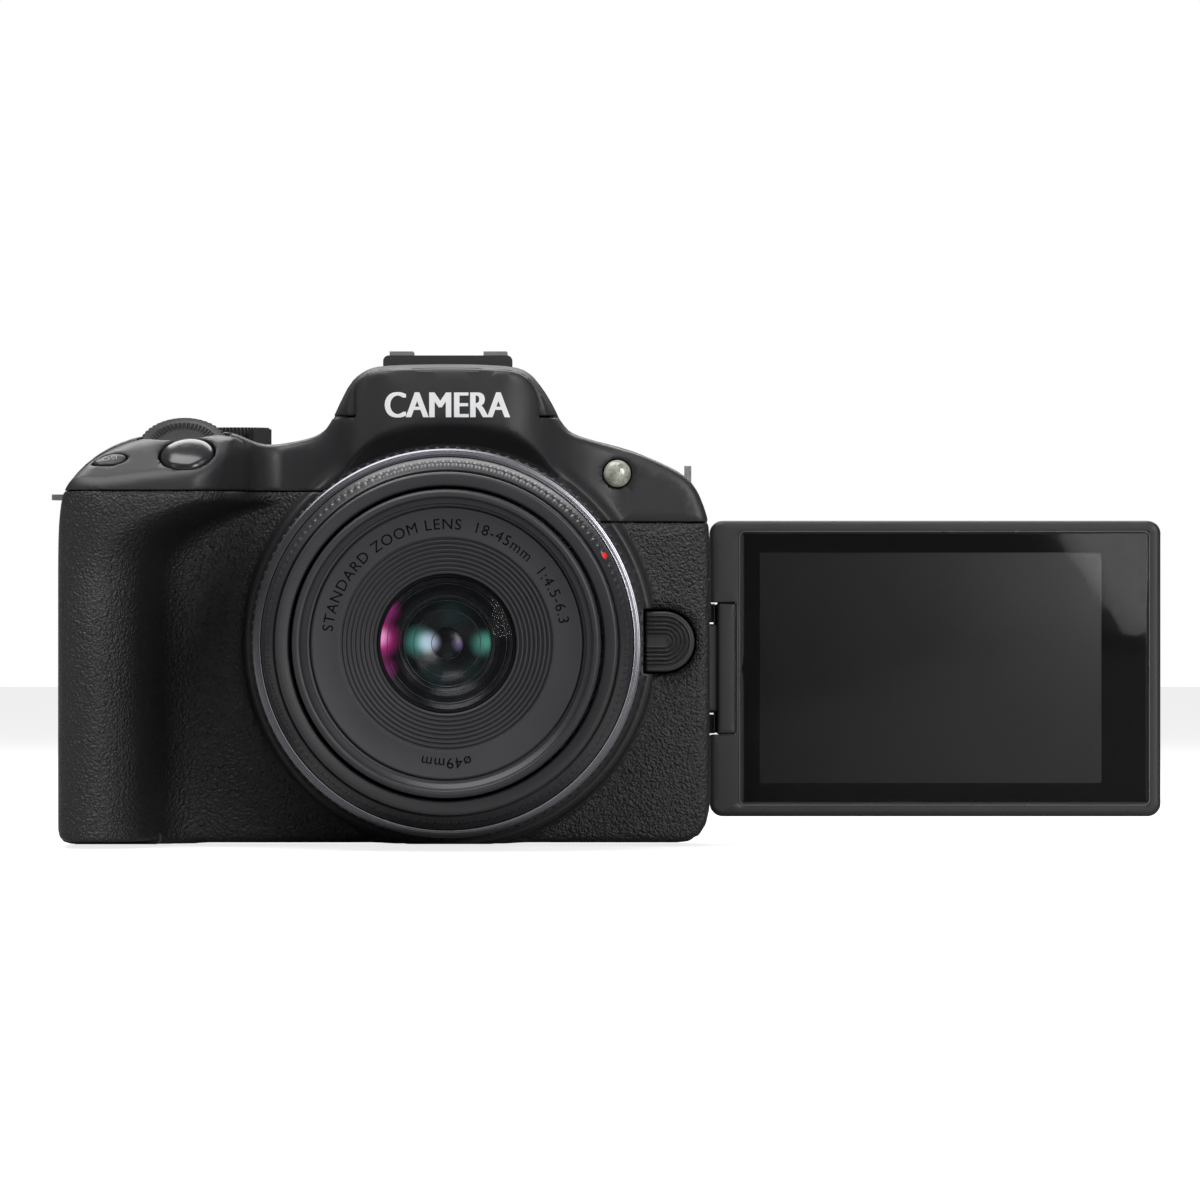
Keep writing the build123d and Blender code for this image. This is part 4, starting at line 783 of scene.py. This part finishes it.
# three copies side by side make the strokes bold
for number, shift in enumerate((-0.22, 0.0, 0.22)):
    lettering(f"front_words_{number}", "CAMERA", 4.7, WHITE, "body",
              on_front(top, WORDS_X + shift, WORDS_Z), thick=0.05 + 0.01 * number,
              width=21.8, spacing=1.04)
DOT_R, DOT_TURN = 31.35, 0.51
turned("mount_dot", [(0.62, 0.0), (0.6, 0.16), (0.45, 0.24), (0.01, 0.27)],
       axis_frame((DOT_R * math.cos(DOT_TURN), -57.55, LENS_Z + DOT_R * math.sin(DOT_TURN)),
                  (0.35, -0.85, 0.2)), RED, "control", segments=32, closed=False, slot="gloss")


# ------------------------------------------------------------------ screen
def round_corners(x, z, corner, y):
    """Points of a rectangle with round corners, at one depth"""
    out = []
    for k, (cx, cz) in enumerate(((x[1], z[1]), (x[0], z[1]), (x[0], z[0]), (x[1], z[0]))):
        cx += corner if cx == x[0] else -corner
        cz += corner if cz == z[0] else -corner
        for step in range(9):
            turn = math.pi / 2 * (k + step / 8)
            out.append((cx + corner * math.cos(turn), y, cz + corner * math.sin(turn)))
    return out


def stacked(name, loops, paint, body, ring=False, **more):
    """Skin over loops of points; a ring joins its last loop to its first"""
    count, last = len(loops[0]), len(loops) if ring else len(loops) - 1
    faces = []
    for i in range(last):
        for k in range(count):
            n, j = (k + 1) % count, (i + 1) % len(loops)
            faces.append((i * count + k, i * count + n, j * count + n, j * count + k))
    if not ring:
        faces += [tuple(range(count))[::-1], tuple((len(loops) - 1) * count + k for k in range(count))]
    return place(name, sum(loops, []), faces, paint, body, **more)


def slab(name, x, y, z, corner, paint, body, edge=0.12, **more):
    """Plate across Y with round corners and bevelled edges"""
    levels = [(edge, y[0]), (edge * 0.3, y[0] + edge * 0.3), (0, y[0] + edge), (0, y[1] - edge),
              (edge, y[1])]
    loops = [round_corners((x[0] + i, x[1] - i), (z[0] + i, z[1] - i), max(0.05, corner - i), at)
             for i, at in levels]
    return stacked(name, loops, paint, body, **more)


def border(name, outer, inner, y, corners, paint, body, **more):
    """Flat ring between two round-cornered rectangles, each (x low, x high, z low, z high)"""
    loops = [round_corners(box[:2], box[2:], corner, at) for box, corner, at in
             ((outer, corners[0], y[1]), (outer, corners[0], y[0]), (inner, corners[1], y[0]),
              (inner, corners[1], y[1]))]
    return stacked(name, loops, paint, body, ring=True, **more)


grid = grid_over((46, 11.5, 4), (128.2, 19.5, 58.2), SCREEN_VOXEL)
X, Y, Z = grid
qx, qz = np.abs(X - 87.15) - 40.65 + 2.4, np.abs(Z - SCREEN_Z) - 26.65 + 2.4
plan = np.sqrt(np.maximum(qx, 0) ** 2 + np.maximum(qz, 0) ** 2) + np.minimum(np.maximum(qx, qz), 0) - 2.4
panel = smax(plan, np.abs(Y - 15.5) - 3.5, 0.9)
lean = 0.045 * (Y - 12)
panel = smax(panel, -np.maximum(X - 51.2 - lean, np.abs(Z - SCREEN_Z) - 11.85 - lean), 0.12)
panel = smax(panel, -box_field(grid, (51.95, 125.75), (5, 13.1), (6.55, 55.85), 0.5), 0.1)
panel = smax(panel, -box_field(grid, (55.4, 118.6), (5, 15.3), (8.9, 53.6), 0.1), 0.1)
panel = smax(panel, -box_field(grid, (56.95, 124.75), (17.75, 24), (7.0, 55.3), 0.8), 0.15)
panel = smax(panel, -rod_field(grid, axis_frame((51, 15.5, SCREEN_Z), (1, 0, 0)), 2.1, -2, 5.9), 0.1)
skin("screen_shell", panel, grid, SCREEN_VOXEL, SATIN, "screen", stands_for=("screen_frame",),
     slot="smooth")
slab("screen_cover", (52.0, 125.7), (12.14, 13.08), (6.6, 55.8), 0.9, SCREEN_GLASS, "screen", 0.16,
     stands_for=("screen_glass",), slot="panel_glass")
slab("display", (55.5, 117.2), (13.12, 15.2), (10.45, 52.1), 0.3, DISPLAY, "screen", 0.05,
     stands_for=("lcd_panel",), slot="panel_glass")
border("screen_mask", (52.1, 125.6, 6.7, 55.7), (55.55, 117.15, 10.5, 52.05), (13.09, 13.11), (0.8, 0.3),
       INK, "screen", slot="panel_glass")
border("screen_line", (51.86, 125.84, 6.46, 55.94), (52.02, 125.68, 6.62, 55.78), (12.0, 12.35), (1.0, 0.9),
       EDGE, "screen", slot="smooth")
slab("screen_plate", (57.0, 124.7), (17.8, 18.9), (7.1, 55.2), 0.9, GRAIN, "screen", 0.3,
     stands_for=("screen_back",), slot="grained")

grid = grid_over((42, 11, 18), (52, 20, 44), ARM_VOXEL)
X, Y, Z = grid
arm = smax(rod_field(grid, axis_frame((SWING_X, SWING_Y, SCREEN_Z), (0, 0, 1)), 2.6, -8, 8, 0.4), 0 * X - 9,
           0.1)
arm = smin(arm, box_field(grid, (45, 49), (13.0, 18.0), (SCREEN_Z - 7.8, SCREEN_Z + 7.8), 0.4), 0.3)
lean = 0.045 * (Y - 12)
wide = smax(box_field(grid, (47.9, 53), (12.3, 18.7), (17, 45), 0.5), X - 51.0 - lean, 0.15)
wide = smax(wide, np.abs(Z - SCREEN_Z) - 11.65 - lean, 0.15)
away = np.sqrt((X - SWING_X) ** 2 + (Y - SWING_Y) ** 2)
shroud = np.maximum(np.maximum(np.abs(away - 2.84) - 0.14, 47.2 - X), np.abs(Z - SCREEN_Z) - 11.6)
arm = np.minimum(smin(arm, wide, 0.3), shroud)
skin("arm_shell", smax(arm, 1.1 - away, 0.1), grid, ARM_VOXEL, SATIN, "arm", stands_for=("screen_arm",),
     slot="smooth")
for side in (-1, 1):
    turned("ear_cap_" + ("low", "top")[side > 0],
           rounded([(0.01, 0.0), (2.5, 0.0), (2.5, 0.18), (0.01, 0.18)], 0.05, 1),
           axis_frame((SWING_X, SWING_Y, SCREEN_Z + side * 11.51), (0, 0, side)), DARK_METAL, "body",
           segments=64, slot="steel")

# ------------------------------------------------------------------ controls
grid = grid_over((34.4, -17.6, 30.2), (44.2, -9.6, 42.0), KEY_VOXEL)
X, Y, Z = grid
u = np.sqrt((X - KEY_X) ** 2 + (Z - KEY_Z) ** 2)
arch = np.where(X > KEY_X, u, np.abs(Z - KEY_Z)) - 5.35
key = np.maximum(arch, 34.85 - X)
ribs = (0.2 * np.cos(2 * math.pi * arch / 0.74) * ramp(-arch, 0.5, 0.9) * ramp(-arch, 4.6, 4.2)
        - 0.3 * ramp(-arch, 0.3, 1.4))
skin("release_key", smax(key, np.maximum(-16.9 - ribs - Y, Y + 10.6), 0.35), grid, KEY_VOXEL, SATIN,
     "release_key", stands_for=("release_button",), slot="smooth")
turned("shutter_cap", [(0.01, 1.0), (1.6, 0.95), (3.0, 0.75), (3.9, 0.42), (4.5, 0.0), (4.75, -0.5),
                       (4.8, -1.0), (4.8, -3.3), (4.4, -3.4), (0.01, -3.4)], SLOPE, SHINY, "shutter_key",
       segments=160, closed=False, stands_for=("shutter_button",), slot="gloss")
turned("dial_wheel_rim", [(0.01, 1.3), (5.4, 1.3), (5.6, 1.45), (6.0, 2.0), (6.3, 2.1), (7.3, 2.1),
                          (7.8, 1.75), (8.0, 1.5), (8.0, 0.5), (8.0, -0.5), (8.0, -1.6), (7.7, -2.1),
                          (1.5, -2.1), (1.5, -6.9), (0.01, -7.0)], DIAL, SATIN, "dial_wheel",
       segments=960, shape=knurl(48, 0.7, -1.9, 1.9, 0.6), closed=False, stands_for=("main_dial",),
       slot="smooth")
turned("mode_wheel_rim", [(0.01, 5.6), (5.2, 5.6), (5.4, 5.9), (6.2, 5.9), (6.5, 5.6), (6.6, 5.3),
                          (6.6, 4.2), (6.6, 3.2), (6.3, 2.65), (2.0, 2.6), (2.0, -4.9), (0.01, -5.0)],
       MODE, SATIN, "mode_wheel", segments=1080, shape=knurl(60, 0.5, 2.9, 5.8, 0.6), closed=False,
       stands_for=("mode_dial",), slot="smooth")
MARK_R, MODE_FACE = 4.9, 5.6
for mark, angle in (("A", 90), ("P", 45), ("S", 0), ("T", -45), ("M", -90), ("1", -135), ("2", 180),
                    ("3", 135)):
    at = Matrix.Rotation(math.radians(angle), 4, "Z") @ Vector((MARK_R, 0, MODE_FACE))
    lettering("mode_mark_" + mark, mark, 1.5, WHITE, "mode_wheel",
              on_plane(MODE @ Matrix.Translation(at), turn=angle + 90), thick=0.05)
lettering("iso_words", "ISO", 1.35, GREY_INK, "iso_key", on_top(bpy.data.objects["iso_cap"], ISO, 0.68))
turned("lamp_dome", [(0.01, 1.05), (0.8, 1.02), (1.5, 0.85), (2.1, 0.5), (2.4, 0.1), (2.45, -0.4),
                     (2.45, -1.4), (2.2, -1.9), (0.01, -2.0)], LAMP_FRAME, LAMP, "body", segments=96,
       closed=False, stands_for=("af_lamp",), slot="clear")
grid = grid_over((-15, 23.5, 63), (15, 31.5, 84), CUP_VOXEL)
X, Y, Z = grid
cup = box_field(grid, (-14.5, 13.9), (24, 31), (63.4, 83.6), 3.0)
cup = smax(cup, 24.05 - Y, 0.2)
cup = smax(cup, -box_field(grid, (-9.9, 9.3), (10, 40), (67.0, 79.4), 3.0), 1.2)
cup = smax(cup, -(np.maximum(np.abs(X + 0.3) - 9.6 - (Y - 27) * 0.5,
                             np.abs(Z - 73.2) - 6.2 - (Y - 27) * 0.5)), 0.8)
skin("eye_rubber", cup, grid, CUP_VOXEL, RUBBER, "body", stands_for=("eyecup",), slot="rubber")

# ------------------------------------------------------------------ parts kept from the model
KEPT = {
    "chassis": ALLOY, "mount_ring": STEEL, "case_screws": STEEL, "body_contacts": BRASS,
    "tripod_socket": STEEL, "shutter_unit": DARK_METAL, "image_sensor": BOARD, "main_board": BOARD,
    "battery": CELL, "evf_unit": INNER, "eyepiece_lens": COATED_GLASS, "hot_shoe": STEEL,
    "shoe_cap": SATIN, "strap_lugs": STEEL, "sockets": STEEL, "hinge_bracket": DARK_METAL,
    "hinge_pins": STEEL, "movie_button": RED_RING, "power_lever": SATIN, "flash_window": FROST,
    "ae_lock_button": SATIN, "af_point_button": SATIN, "info_button": SATIN, "play_button": SATIN,
    "menu_button": SATIN, "four_way_pad": SATIN, "set_button": SATIN, "lock_pin": STEEL,
    "battery_door": SATIN, "mic_door": RUBBER, "port_door": RUBBER, "diopter_slider": SATIN,
    "lens_mount": STEEL, "rear_glass": COATED_GLASS, "iris": DARK_METAL, "focus_group": COATED_GLASS,
}
EASED = {
    "shoe_cap": 0.25, "strap_lugs": 0.3, "power_lever": 0.3, "ae_lock_button": 0.25,
    "af_point_button": 0.25, "info_button": 0.25, "play_button": 0.25, "menu_button": 0.25,
    "four_way_pad": 0.4, "set_button": 0.3, "battery_door": 0.2, "mic_door": 0.2, "port_door": 0.2,
    "diopter_slider": 0.2, "movie_button": 0.25, "hot_shoe": 0.15, "flash_window": 0.15,
    "battery": 0.6, "hinge_bracket": 0.2,
}
for node, paint in KEPT.items():
    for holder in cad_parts[node].material_slots:
        holder.link = "OBJECT"
        holder.material = paint
for node, width in EASED.items():
    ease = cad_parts[node].modifiers.new("ease", "BEVEL")
    ease.width = width * MM
    ease.segments = 3
    ease.limit_method = "ANGLE"
    ease.angle_limit = math.radians(50)
    ease.harden_normals = True

floor_mesh = bpy.data.meshes.new("floor")
floor_mesh.from_pydata([(-4, -4, 0), (4, -4, 0), (4, 4, 0), (-4, 4, 0)], [], [(0, 1, 2, 3)])
floor_mesh.materials.append(FLOOR)
floor = bpy.data.objects.new("floor", floor_mesh)
floor.location.z = -0.0004
scene.collection.objects.link(floor)
